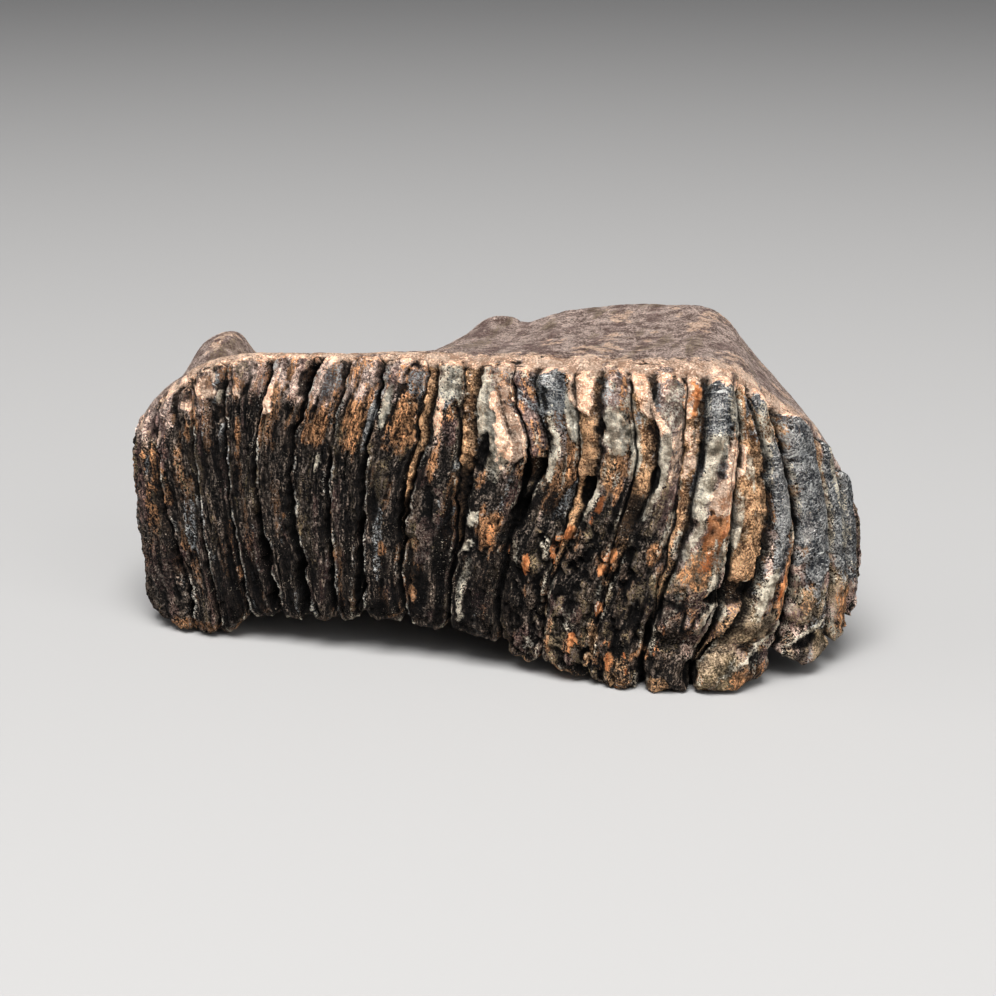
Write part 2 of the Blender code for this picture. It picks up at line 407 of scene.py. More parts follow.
GAPS = (
    Gap((0, 0, 0, 0, 0), (0.4, 0.4, 0.4, 0.4, 0.4)),
    Gap((4, 4, 1.6, 0.8, 0.4), (1.0, 0.9, 0.5, 0.5, 0.5)),
    Gap((3.5, 4, 3, 3.2, 1.5), (0.8, 0.9, 0.5, 0.6, 0.5)),
    Gap((3, 2.6, 1.6, 3, 2), (0.8, 0.65, 0.45, 0.55, 0.6)),
    Gap((6, 6.5, 4, 3.4, 3), (1.8, 2.2, 0.8, 0.6, 1.2)),
    Gap((6.5, 6, 3.4, 3.2, 3), (2.1, 1.9, 0.8, 0.7, 1.5)),
    Gap((4.5, 3.6, 1.8, 0.9, 0.8), (1.3, 1.0, 0.9, 0.6, 0.6)),
    Gap((7, 6, 4, 3.5, 2), (2.3, 1.8, 0.9, 0.9, 0.6)),
    Gap((3, 2.8, 2, 1, 0.8), (0.8, 0.7, 0.6, 0.45, 0.4), (0, 0, 0.8, 1.6, 1.4), -0.8),
    Gap((3, 2.5, 1.6, 0.9, 0.6), (0.8, 0.8, 0.6, 0.4, 0.35), (0, 0, 1.2, 2.1, 2.1), -0.5),
    Gap((3.5, 3, 4, 1.4, 0.8), (0.9, 0.9, 1.2, 0.5, 0.4), (0, 0, 0, 2.2, 2.8), 0.4, 0),
    Gap((3, 2.5, 1.2, 0.9, 0.6), (0.8, 0.8, 0.5, 0.4, 0.35), (0, 0, 1.4, 2.7, 3.4), 0.7),
    Gap((3, 2.5, 1.2, 0.9, 0.6), (0.8, 0.7, 0.5, 0.4, 0.35), (0, 0, 1.8, 2.5, 2.7), 0.7),
    Gap((4, 3, 1.4, 0.9, 0.6), (1.1, 0.9, 0.5, 0.4, 0.35), (0, 0.4, 1.9, 2.2, 2.7), 0.3),
    Gap((2.5, 2.2, 1.6, 1.4, 0.8), (0.7, 0.8, 0.5, 0.45, 0.4), (0, 2.4, 4.2, 3.7, 1.3), 2.2),
    Gap((3, 3.6, 3.6, 3, 1.4), (0.7, 0.8, 0.8, 0.7, 0.5), (0.6, 0.4, 0.3, 0.6, 0.8), -0.8),
    Gap((2.6, 3.4, 3.6, 3, 1.4), (0.7, 0.8, 0.8, 0.7, 0.5), (0.5, 0.3, 0.3, 0.5, 0.6), -0.8),
    Gap((2, 2.6, 2.8, 2.2, 1), (0.5, 0.6, 0.6, 0.6, 0.4), (0.5, 0.4, 0.4, 0.5, 0.5), -0.6),
    Gap((0, 0, 0, 0, 0), (0.4, 0.4, 0.4, 0.4, 0.4)),
)


@dataclass(frozen=True)
class Patch:
    """A stretch of one finish on the near side.

    Wide and tall are half its size, rise is how far it stands out, lean is how far it moves along
    the tooth for each millimetre up, and amount is how much of the finish it has.
    """

    plate: float
    height: float
    wide: float
    tall: float
    rise: float = 0
    lean: float = 0
    amount: float = 1


# What the photo shows on the near side. Each row holds the values of a Patch, roughly from the front
# plates to the back ones, with those of the broken stretch low down in the middle last.
PATCHES = {
    Finish.RUST: (
        (1.84, 61, 0.8, 4.5), (2.2, 64, 0.8, 3.5, 0.2), (3.3, 73, 1.1, 4, 0.2),
        (3.4, 61, 0.9, 4.5, 0.2), (2.98, 20.7, 1, 1.8), (1.2, 2, 9, 3, 0, 0, 0.8),
        (3.4, 3, 10, 1.6, 0, 0, 0.6), (5.5, 66, 3, 6.5, 0.2), (4.81, 39, 0.7, 1.6),
        (6.6, 67, 3.2, 8.5, 0.4, -0.05), (7.6, 67, 3.4, 8, 0.2), (1.6, 46, 1.6, 12, 0.1, 0, 0.6),
        (3.5, 38, 1.4, 10, 0.1, 0, 0.55), (2.5, 66, 2, 13, 0.1, 0, 0.6),
        (4.4, 66, 1.8, 10, 0.1, 0, 0.6), (4.6, 42, 1.4, 8, 0.1, 0, 0.6), (8.21, 20, 1.5, 2, 0.2),
        (7.6, 33, 1.4, 2), (8.42, 58, 1.6, 5.5, 0.2), (9.54, 41, 3, 7, 0.3),
        (9.85, 59, 1.8, 4, 0.2, 0, 0.7), (10.66, 64, 1.6, 7.5, 0.2), (11.58, 60, 2.4, 8, 0.1, 0.1),
        (13.5, 38, 3.6, 8, 0, 0.3, 0.8), (14.8, 38.5, 2, 6, 0.1), (14.84, 29, 2.2, 9, 0.4),
        (14.7, 4, 4.5, 4, 0.2, 0, 0.9), (16.5, 14, 4, 8, 0, 0, 0.8), (12.72, 39, 2.1, 3.4, 0.4),
        (12.92, 11, 2.2, 2.6, 0.3),
    ),
    Finish.PEACH: (
        (2.5, 73, 3.6, 3, 0.3, 0, 0.8), (4.15, 71.5, 1.5, 4, 0.4), (8.35, 70, 1.4, 5, 0.2, 0, 0.6),
        (9.63, 70, 3, 12, 0.6, 0, 0.95), (10.94, 80, 3.4, 5.5, 1.2),
        (12.06, 80.5, 2.3, 8.5, 1.1, -0.4, 0.85), (12.7, 66, 1.6, 8, 0.2, 0, 0.55),
        (12.86, 79.5, 1.4, 4, 0, 0, 0.7), (12.98, 67, 1.8, 9, 0, 0, 0.4),
        (13.7, 64, 2.4, 7, 0.5, 0, 0.8), (13.6, 56, 2.6, 5, 0.3, 0.1, 0.85),
    ),
    Finish.PALE_ENAMEL: (
        (2.92, 71, 0.8, 2.2, 0.3), (5.69, 55, 0.5, 2.6, 0.2), (7.2, 72, 1.2, 5.5, 0.5),
        (7.0, 9, 0.5, 3, 1.6, -0.3), (8.5, 80, 3.6, 5, 0.3, 0, 0.8), (9.24, 43.5, 1.6, 2.6, 0.4),
        (9.2, 35.5, 1.6, 1.8, 0.4), (9.26, 22.5, 1.3, 9, 0.3, 0.04, 0.7), (9.34, 72.5, 3.6, 10, 1.1),
        (9.5, 61, 2.4, 6, 0.5, 0.1, 0.8), (10.72, 73, 1.6, 7, 0.6), (10.32, 64, 1.5, 10, 0.6, 0.08),
        (11.5, 72, 4, 6, 0.8), (11.8, 67, 1.3, 8, 0.5), (11.26, 53, 1, 6, 0.5, 0.1),
        (12.6, 79, 2.6, 6, 0.2, 0, 0.6), (12.4, 68, 2, 7, 0.5, 0.04, 0.9),
        (12.38, 60, 1.4, 12, 0.6, 0.08), (13.76, 76, 2, 7, 0.2, 0, 0.7),
        (13.4, 67.5, 3.8, 4.5, 0.3, 0.3, 0.95), (13.3, 57, 2, 8, 0.7, 0.25),
        (13.28, 46, 1, 8, 0.9, 0.15), (13.76, 45, 1, 11, 0.8, 0.06), (14.6, 73, 3, 5.5, 0.2, 0, 0.6),
        (14.36, 66.5, 1, 3, 0.3), (14.46, 27, 2, 6, 0.6), (16.5, 56, 1.5, 9, 0.2, 0, 0.8),
        (16.04, 47, 1.3, 12, 0.2, 0, 0.6), (16.55, 38, 1.3, 6, 0.2, 0, 0.7),
        (13.72, 25, 0.6, 7.5, 0.8, 0.08), (14.74, 12.6, 0.5, 7, 0.8, 0.77),
        (15.03, 23.5, 0.5, 6, 0.7, 0.1), (15.45, 13, 1.1, 3.4, 0.5, 1.7),
        (15.9, 24, 1, 6, 0.4, 0.1, 0.7),
    ),
    # Painted shade: black in the holes that most of these patches sink, fainter over a few wide stretches.
    Finish.PIT_SHADE: (
        (2.85, 66, 1.6, 2.6, -0.8, 0.1, 0.7), (4.9, 77, 2, 5, -1.2, -0.2, 0.9),
        (9.24, 61.5, 1.3, 5.5, -1.8, 0.05), (10.0, 58, 2.4, 4, -2.2), (10.04, 45, 2.2, 6, -2.6, 0.05),
        (10.3, 78, 0.9, 3, -0.5, 0, 0.7), (9.9, 20, 6.5, 17, 0, 0, 0.5), (11.06, 54.5, 1.8, 4, -1.8),
        (10.96, 66, 3, 9, 0, 0, 0.3), (11.2, 72, 1.3, 2.6, -1, 0, 0.8), (12.26, 58.5, 1.1, 4, -1.4),
        (13.2, 66, 1, 4, -0.8, 0, 0.6), (13.88, 28.5, 4.4, 3.2, -2.6), (13.96, 5, 1.8, 4.5, -2),
        (16.3, 16, 5, 8, 0, 0, 0.32), (15.4, 10.5, 2.4, 1.8, -1, 0.6, 0.8),
    ),
    Finish.PLUM: (
        (0.6, 18, 4, 9, 0, 0, 0.6), (8.66, 66, 1.8, 4), (9.94, 71, 3.4, 15),
        (14.72, 17, 3.4, 3.6, 0, 0, 0.5),
    ),
    Finish.BLUE_ENAMEL: (
        (6.95, 69, 0.9, 8, 0.4), (8.45, 77, 2.4, 4.5, 0.4), (10.4, 80, 4.4, 6.5, 0.5),
        (11.34, 81, 2, 4, 0.4, 0, 0.6), (12.26, 80, 1.6, 4, 0.2, 0, 0.6), (13.48, 79, 5, 9.5, 1),
        (13.22, 64, 1.5, 8, 0.2, 0.1, 0.9), (14.5, 79, 2.4, 4.2, 0.3), (14.64, 55, 3.8, 15, 0.9),
        (14.56, 37, 2.4, 6, 0.3, 0, 0.8), (15.46, 54, 6, 29, 0.6), (16.5, 54, 4.4, 28, 0.6),
        (17.4, 50, 4, 26, 0.4),
    ),
    Finish.OLIVE: (
        (7.4, 52, 2.4, 7, 0, 0, 0.5), (5.4, 34, 2, 10, 0, 0, 0.5), (13.5, 38, 4.4, 9, -0.1, 0.3, 0.9),
        (14.26, 18, 5, 8, 0.8, 0, 0.95), (14.26, 6.5, 5.5, 6, 0.4), (14.62, 17, 3.6, 6),
        (15.4, 22, 4.5, 6, 0.4, 0, 0.95), (15.75, 8, 5.5, 6, 0.3), (16.2, 22, 5, 9, 0.2, 0, 0.8),
        (15.5, 33, 3, 6, 0, 0, 0.7), (12.98, 31, 2.3, 4, 0.3), (10.98, 19, 1.5, 1.6, 0.9),
    ),
    Finish.WORN_TOP: (
        (9.55, 82, 3.4, 4, 0.2), (9.96, 73, 3, 13, 0.2, 0, 0.7), (10.45, 66, 3, 8, 0, 0, 0.6),
        (11.55, 81, 5, 6, 0.4, 0, 0.9), (12.5, 78, 4.4, 8.5, 0.5, 0, 0.9),
    ),
    Finish.CEMENT: (
        (11.36, 62, 1.6, 6, 0.2, 0.1, 0.8), (14.4, 72, 4, 4.4, 0.4), (14.66, 61, 0.8, 1.6, 0.3),
        (15.1, 68, 1.8, 6, 0.4), (15.2, 40, 1, 7, 0.3), (15.8, 36, 1, 6, 0.2, 0, 0.7),
        (16.08, 60, 1.5, 9, 0.2, 0, 0.7), (15.08, 55, 1.2, 8, 0.2, 0, 0.65),
        (15.3, 23, 2.6, 4, 0.4, 0, 0.5), (11.96, 12, 2, 6, 0.2, 0, 0.8),
        (12.56, 5, 3.4, 4, 0.1, 0, 0.7), (13.36, 2.5, 3.4, 2, 0, 0, 0.7),
    ),
    Finish.DENTINE: (
        (11.4, 51.5, 1, 3, 0.3), (12.92, 81, 2.5, 5.5, 1), (13.56, 49, 3.2, 8, 0, 0.1),
        (13.56, 40, 1.6, 5, 0, 0.3, 0.6), (14.72, 29, 0.8, 5, 0.2), (11.02, 42.5, 1.9, 2, 0.6),
        (10.88, 39.5, 1.6, 2, 0.6), (11.94, 37.5, 1.5, 2, 0.6), (11.86, 33.5, 1.7, 1.8, 0.6),
    ),
}


@dataclass
class Skin:
    """The points over one slab: where each lies, how far it stands out and what it shows.

    Side and up run from -1 to 1 over the section, and size is 1 along the tooth and less over its
    ends. Near, far, top, base and end say how much a point belongs to that face, and claimed how much
    of it the patches have taken. The rest comes with the gaps: looked is the plate number once the
    grooves wander, number the nearest groove, offset the way from it in millimetres, and dome the
    bulge of its cement. Inside, edge, middle, arch and band say how far a point is in the cement, on
    a slit's edge, in a plate's middle, below a plate's arched end and on the band that the worn top
    folds down.
    """

    shape: tuple[int, int]
    plate: Array
    side: Array
    up: Array
    size: Array
    point: Array
    normal: Array
    pitch: Array
    masks: Array = field(init=False)
    out: Array = field(init=False)
    claimed: Array = field(init=False)
    looked: Array = field(init=False)
    number: Array = field(init=False)
    offset: Array = field(init=False)
    under_edge: Array = field(init=False)
    dome: Array = field(init=False)
    inside: Array = field(init=False)
    edge: Array = field(init=False)
    middle: Array = field(init=False)
    arch: Array = field(init=False)
    band: Array = field(init=False)

    def __post_init__(self) -> None:
        """Works out which face each point is on, and clears its masks."""
        self.masks = np.zeros((len(Finish), len(self.plate)))
        self.out = np.zeros(len(self.plate))
        self.claimed = np.zeros(len(self.plate))
        self.height = self.point[:, 2]
        self.end = 1 - ease(0.86, 0.985, self.size)
        self.near = on_face(-self.side, self.up)
        self.far = on_face(self.side, self.up)
        tilt = self.normal[:, 2]
        self.top = on_face(self.up, self.side) * (1 - self.end * (1 - ease(0.25, 0.6, tilt)))
        self.base = on_face(-self.up, self.side) * (1 - self.end * (1 - ease(0.25, 0.6, -tilt)))

    @property
    def sides(self) -> Array:
        """How much each point is on one of the two long sides."""
        return (self.near + self.far) * (1 - self.end)

    @property
    def upright(self) -> Array:
        """How much each point is on any upright face."""
        return (self.near + self.far + self.end).clip(0, 1)

    def lay(self, finish: Finish, amount: Array, where: Array | slice = slice(None)) -> None:
        """Adds a finish over the points, keeping the stronger of what was there and the amount."""
        row = self.masks[finish.value]
        row[where] = np.maximum(row[where], np.clip(amount, 0, 1))

    def show(self, finish: Finish) -> Array:
        """How much of a finish each point shows."""
        return self.masks[finish.value]


@dataclass
class Weathering:
    """The relief and the finishes that growth, wear and burial left on the tooth, with painted shade in
    its slits, cracks and holes.

    Reliefs and depths are in millimetres. The number that a method adds to the places of its noise
    only picks another stretch of it. A splint share is a finish, the part of all splints that it
    takes, from low to high, and how strongly it shows.
    """

    form: Form
    noise: Noise
    relief_contrast: float = 0.8
    band_shine: float = 0.09
    pitch_range: tuple[float, float] = (3, 16)
    waviness: float = 0.5
    flute_relief: float = 0.3
    stand_relief: float = 0.45
    fibre_relief: float = 0.32
    splinter_relief: float = 0.2
    step_relief: float = 0.42
    flake_relief: float = 0.35
    crag_relief: float = 0.4
    grit_relief: float = 0.34
    fine_grit_relief: float = 0.2
    grain_relief: float = 0.45
    enamel_relief: float = 0.25
    top_waviness: float = 0.25
    top_grit_relief: float = 0.1
    top_band_relief: float = 0.1
    crack_depth: float = 0.75
    top_crack_depth: float = 0.3
    seam_depth: float = 0.5
    splint_shares: tuple[tuple[Finish, float, float, float], ...] = (
        (Finish.RUST, 0.02, 0.13, 0.8),
        (Finish.OLIVE, 0.2, 0.26, 0.6),
        (Finish.PLUM, 0.34, 0.44, 0.8),
        (Finish.PIT_SHADE, 0.46, 0.5, 0.7),
        (Finish.BLUE_ENAMEL, 0.55, 0.62, 0.6),
    )
    base_depth: Points = ((0, 0.5), (2, 1), (6, 1.5), (9, 3.5), (13, 6), (14, 8), (17, 5), (18, 0.5))
    crust_top: Points = (
        (0, 18), (1, 28), (1.6, 58), (5, 62), (7, 60), (8.5, 55), (10.5, 56), (11.5, 52), (12.5, 46),
        (13.2, 24), (13.8, 6), (15, 0), (17, -8),
    )
    brow_foot: Points = ((0, 60), (1, 63), (2, 70), (4, 78), (6, 76), (7, 80), (9, 84))
    rib_rise: Points = (
        (0, 0.6), (7, 0.9), (9, 1.3), (12, 1.6), (13, 2.2), (14, 3.2), (16, 3), (17, 2), (18, 0.5),
    )

    def grown(self, skin: Skin, across: float, along: float) -> Array:
        """Places for noise that is stretched along the fibres of the plates.

        Args:
            skin: The points.
            across: The noise's width across the fibres, in millimetres.
            along: Its length along them.

        Returns:
            Rows of three coordinates, upright on the sides and lying across on the top.
        """
        plate_mm = skin.plate * PLATE_MM
        return np.stack((plate_mm / across, skin.point[:, 1] / across, skin.height / along), axis=-1)

    def fibrous(
        self, skin: Skin, across: float, along: float, part: Array | float = 0, octaves: int = 1
    ) -> Array:
        """Noise that is stretched along the fibres of the plates."""
        return self.noise.fractal(self.grown(skin, across, along) + part, octaves)

    def cloudy(self, skin: Skin, size: Triple | float, part: float = 0, octaves: int = 1) -> Array:
        """Noise of one size, or of one size along each axis."""
        return self.noise.fractal(skin.point / size + part, octaves)

    def at_heights(self, name: str, number: Array, height: Array) -> Array:
        """Reads a value of the gaps by heights.

        Args:
            name: The value's name in Gap.
            number: The groove that each point is beside.
            height: The height of each point.

        Returns:
            The value at each point, on straight lines between the heights.
        """
        values = np.array([getattr(gap, name) for gap in GAPS], float)
        low, next_height = self.form.groove_heights[:2]
        u = np.clip((height - low) / (next_height - low), 0, values.shape[1] - 1.001)
        step = u.astype(int)
        return values[number, step] * (1 - u + step) + values[number, step + 1] * (u - step)

    def find_grooves(self, skin: Skin) -> None:
        """Finds each point's nearest groove, which wanders a little, and its distance from it.

        Args:
            skin: The points of a slab. What it finds is noted on them.
        """
        back = ease(7.5, 12, skin.plate)
        wander = self.fibrous(skin, 14, 7) * 0.07 * (1 - 0.4 * back)
        jog = self.fibrous(skin, 9, 2.6) * 0.045 * (1 - 0.6 * back)
        skin.looked = skin.plate + wander + jog
        skin.number = np.clip(np.round(skin.looked), 0, self.form.plates).astype(int)
        skin.offset = (skin.looked - skin.number) * skin.pitch

    def read_gaps(self, skin: Skin) -> tuple[Array, Array, Array]:
        """Reads the gap at each point's groove, on whichever face of the tooth it is.

        Args:
            skin: The points, with their grooves found.

        Returns:
            The slit's depth, its half-width and the half-width of the cement.
        """
        near_depth, near_width, near_cement = (
            self.at_heights(name, skin.number, skin.height) for name in ("depth", "half_width", "cement")
        )
        corner = (1 - skin.near - skin.far - skin.base - skin.top).clip(0)
        varied = (np.sin(skin.number * 2.4) + 1) / 2
        far_cement = ease(4, 11, skin.number) * (0.8 + 2.2 * varied)
        depth = near_depth * skin.near + skin.far * (1.3 + 1.5 * varied)
        depth += skin.base * curve(self.base_depth, skin.plate) + skin.top * 0.15 + corner * 1.2
        width = skin.near * near_width + skin.far * 0.6 + skin.base * 1.6 + skin.top * 0.35
        width += corner * 0.6
        cement = skin.near * near_cement + skin.far * far_cement + skin.top * skin.pitch * 0.2
        cement += skin.base * 0.4
        return depth, width, cement

    def cut_gaps(self, skin: Skin) -> None:
        """Cuts the slits between the plates, and fills the wider ones with cement.

        Args:
            skin: The points of a slab. Their relief and masks are changed in place.
        """
        self.find_grooves(skin)
        depth, width, cement = self.read_gaps(skin)
        back = ease(7.5, 12, skin.plate)
        side_key = np.where(skin.offset > 0, 5.1, 0)[:, None]
        ragged = self.fibrous(skin, 5, 4, side_key, 2)
        patchy = self.fibrous(skin, 8, 9, side_key + 31.7)
        skin.under_edge = curve(self.form.near_top, skin.plate) - skin.height
        over_foot = skin.height - curve(self.form.near_base, skin.plate)
        depth = depth * (1 - 0.85 * skin.near * ease(7, 2, skin.under_edge))
        depth = depth * (1 - 0.85 * skin.near * ease(10, 8, skin.plate) * ease(6, 1, over_foot))
        depth = depth * (1 - 0.75 * self.jumbled(skin)) * (1 - skin.end)
        depth = depth * np.clip(0.95 + 0.95 * patchy * (1 - 0.5 * back), 0.12, 1.7)
        width = width * np.clip(0.95 + 0.5 * ragged * (1 - 0.5 * back) + 0.3 * patchy, 0.3, 2)
        out_of_cement = np.abs(skin.offset) - cement
        from_crack = np.abs(out_of_cement)
        slit = np.clip(1.3 - 1.3 * (from_crack / np.maximum(width, 0.05)) ** 2.2, 0, 1)
        inside = ease(0.25, -0.25, out_of_cement) * ease(0.15, 0.6, cement)
        shoulder = np.exp(-from_crack / (0.7 + 0.6 * back)) * (1 - inside)
        rise = np.array([gap.rise for gap in GAPS])[skin.number]
        skin.dome = 1 - np.clip(skin.offset / np.maximum(cement, 0.3), -1, 1) ** 2
        skin.out -= depth * slit + shoulder * (0.1 + 0.2 * back) * skin.sides
        skin.out += inside * skin.sides * (rise * skin.near - 0.5 * skin.far + 0.5 * skin.dome)
        skin.inside = inside
        skin.edge = hump(out_of_cement - width - 0.35, 0.4) * (1 - skin.end)
        from_middle = skin.pitch / 2 - np.abs(skin.offset)
        skin.middle = np.clip(from_middle / np.maximum(skin.pitch / 2 - cement, 1), 0, 1)
        arched = ease(0.8, 3.6, skin.under_edge - 3.6 * skin.middle**2)
        skin.arch = 1 - back * skin.near * (1 - inside) * (1 - arched)
        lasting = ease(30, 58, skin.height + 10 * patchy + 14 * (skin.number == 14))
        shown = np.array([gap.cement_shown for gap in GAPS])[skin.number] * (0.35 + 0.65 * lasting)
        skin.lay(Finish.CEMENT, inside * (skin.near * shown + skin.far * 0.9))
        # Painted shade: the deeper slits are painted black.
        skin.lay(Finish.PIT_SHADE, slit * ease(0.7, 2.6, depth) * (1 - 0.8 * skin.top))

    def swell(self, skin: Skin) -> None:
        """Rounds each plate between its slits and flutes it lightly along its height.

        Args:
            skin: The points of a slab. Their relief and masks are changed in place.
        """
        ribs = 1 - skin.middle**2.5
        back = ease(5, 9, skin.plate)
        torn = ease(8, 12.5, skin.plate)
        whole = skin.sides * (1 - 0.6 * self.jumbled(skin)) * (1 - 0.6 * skin.far)
        skin.out += whole * curve(self.rib_rise, skin.plate) * (ribs * skin.arch - 0.5)
        stand = np.sin(np.floor(skin.looked) * 2.9 + skin.height / 26)
        skin.out += skin.sides * self.stand_relief * stand * (1 - skin.middle**8) * skin.arch
        skin.out += skin.base * (1 - skin.end) * (1.6 * ribs - 0.8) * (0.1 + 0.9 * back)
        upper_rim = hump(skin.up - np.abs(skin.side), 0.16) * (1 - skin.end)
        skin.out += upper_rim * (0.5 * ribs - 0.8 + 0.6 * self.cloudy(skin, 7, 51, 2))
        lower_rim = hump(-skin.up - np.abs(skin.side), 0.14) * (1 - skin.end)
        skin.out += lower_rim * (0.3 * torn - 0.3 + (0.3 + 1.4 * torn) * self.cloudy(skin, 5, 58, 2))
        flutes = self.fibrous(skin, 2.6, 26, 7.7)
        skin.out += (skin.sides + skin.end) * self.flute_relief * flutes * (1 - skin.inside)

    def fold_lip(self, skin: Skin) -> None:
        """Folds the worn top's edge down over the plates, as a pale band that ends in a seam.

        Args:
            skin: The points of a slab. Their relief and masks are changed in place.
        """
        corner = skin.up - np.abs(skin.side)
        band = ease(-0.1, -0.02, corner) * ease(0.34, 0.12, corner) * (1 - skin.end)
        lip = skin.near * (1 - skin.end)
        reach = 1.2 + 2.8 * skin.middle**2 - 1.8 * skin.inside * skin.dome
        reach = reach + 1.3 * self.cloudy(skin, 4, 17) + 3 * hump(skin.plate - 1.9, 1.1)
        past = skin.under_edge - reach
        skin.band = np.maximum(band * ease(0.2, -0.2, skin.side), lip * ease(0.4, -0.4, past))
        seam = lip * hump(past, 0.55) * ease(-0.3, 0.2, self.cloudy(skin, 5, 27))
        skin.out -= self.seam_depth * seam
        # Painted shade in the seam.
        skin.lay(Finish.PIT_SHADE, seam * 0.55)

    def lay_splints(self, skin: Skin) -> None:
        """Parts the sides into long splints, each with its own level and its own finish.

        Args:
            skin: The points of a slab. Their relief and masks are changed in place.
        """
        sides = skin.upright * (1 - skin.inside)
        here = np.flatnonzero(sides > 0.1)
        sides = sides[here]
        back = ease(7.5, 11, skin.plate[here])
        place = self.grown(skin, 2.3, 15)[here] * (1 - 0.4 * back)[:, None]
        place = place + 0.4 * self.noise.smooth(place * (1.3, 1.3, 2.2))[:, None]
        _, gap, kind = self.noise.cells(place)
        calm = sides * (1 - 0.75 * skin.show(Finish.BLUE_ENAMEL)[here])
        skin.out[here] += calm * ((0.7 - 0.1 * back) * (kind - 0.5) - 0.3 * hump(gap, 0.07))
        free = sides * (1 - skin.claimed[here]) * (1 - 0.8 * self.jumbled(skin)[here])
        free = free * (0.72 + 0.28 * ease(30, 62, skin.height[here]))
        for finish, low, high, amount in self.splint_shares:
            chosen = free * amount * ((kind >= low) & (kind < high))
            skin.show(Finish.CRUST)[here] *= 1 - 0.95 * chosen
            skin.lay(finish, chosen, here)

    def split(self, skin: Skin) -> None:
        """Opens the fine cracks that run along the fibres, and paints shade into them.

        Args:
            skin: The points of a slab. Their relief and masks are changed in place.
        """
        present = ease(-0.1, 0.45, self.fibrous(skin, 7, 15, 83))
        woody = skin.upright * (1 - skin.inside) * (1 - 0.8 * skin.show(Finish.BLUE_ENAMEL))
        cracks = woody * hump(self.fibrous(skin, 3, 24, 61), 0.1) * present * (1 - 0.85 * skin.claimed)
        skin.out -= self.crack_depth * cracks
        # Painted shade in the cracks.
        skin.lay(Finish.PIT_SHADE, cracks * 0.8)

    def roughen(self, skin: Skin) -> None:
        """Adds the waviness, the split fibres and the grit of the surface.

        Args:
            skin: The points of a slab. Their relief and masks are changed in place.
        """
        rough = 1 - skin.top * 0.86
        skin.out += self.waviness * rough * self.cloudy(skin, 9, 0, 2)
        broken = 1 - 0.75 * skin.show(Finish.BLUE_ENAMEL)
        broken = broken * (1 - 0.65 * skin.show(Finish.PEACH))
        broken = broken * (1 - 0.35 * ease(8, 12, skin.plate) * (1 - self.jumbled(skin)))
        splinters = np.abs(self.fibrous(skin, 0.85, 5, 9.4))
        fibres = self.fibre_relief * self.fibrous(skin, 1.2, 12, 3.1, 2)
        fibres = fibres + self.splinter_relief * splinters
        skin.out += skin.upright * (1 - skin.inside) * broken * fibres
        chips = self.fibrous(skin, 2.4, 11, 21.3, 2)
        steps = self.step_relief * (ease(-0.1, 0.1, chips) - 0.5)
        steps += self.flake_relief * (ease(0.34, 0.48, chips) - ease(-0.34, -0.48, chips))
        crags = self.crag_relief * (0.35 - np.abs(self.cloudy(skin, 3.2, 71)))
        crags = crags * (1 + ease(8, 11, skin.plate))
        grit = self.grit_relief * self.cloudy(skin, 1.6, 0, 2)
        grit += self.fine_grit_relief * self.cloudy(skin, 0.75, 33)
        skin.out += rough * broken * (steps + crags + grit)

    def grain_cement(self, skin: Skin) -> None:
        """Breaks the cement up into rounded grains with pits between them.

        Args:
            skin: The points of a slab. Their relief and masks are changed in place.
        """
        here = np.flatnonzero(skin.show(Finish.CEMENT) > 0.02)
        if not len(here):
            return
        amount = skin.show(Finish.CEMENT)[here] * (1 - skin.top[here] * 0.9)
        amount = amount * (1 - 0.85 * skin.show(Finish.PEACH)[here])
        grains = skin.point[here] / 1.5
        grains = grains + 0.4 * self.noise.smooth(grains * 0.8)[:, None]
        near, gap, kind = self.noise.cells(grains)
        swells = self.noise.fractal(skin.point[here] / 4.5 + 13, 2)
        level = 0.2 * (0.7 - near) + 0.35 * (kind - 0.5) - 0.2 * hump(gap, 0.12)
        skin.out[here] += amount * (level + self.grain_relief * swells)

    def jumbled(self, skin: Skin) -> Array:
        """How much each point belongs to the jumble low down in the middle of the near side."""
        amount = skin.near * hump(skin.plate - 11.3, 2.1) * ease(54, 40, skin.height)
        return amount * ease(0.1, 0.5, amount)

    def break_up(self, skin: Skin) -> None:
        """Makes the jumble of flakes and pebbles low down in the middle of the near side.

        Args:
            skin: The points of a slab. Their relief and masks are changed in place.
        """
        amount = self.jumbled(skin)
        here = np.flatnonzero(amount > 0.03)
        if not len(here):
            return
        amount = amount[here]
        place = skin.point[here] / (2.2, 2.2, 5)
        place = place + 0.5 * self.noise.smooth(place * 1.2)[:, None]
        place = place + 0.2 * self.noise.smooth(place * 3.1 + 7)[:, None]
        near, gap, kind = self.noise.cells(place)
        cracks = hump(gap, 0.07) * ease(0.25, 0.6, kind)
        skin.out[here] += amount * (0.9 * (0.55 - near) + 1.9 * (kind - 0.5) - 0.5 * cracks)
        lumps = ease(0.49, 0.51, kind) * ease(0.71, 0.69, kind) * ease(10.3, 11.2, skin.plate[here])
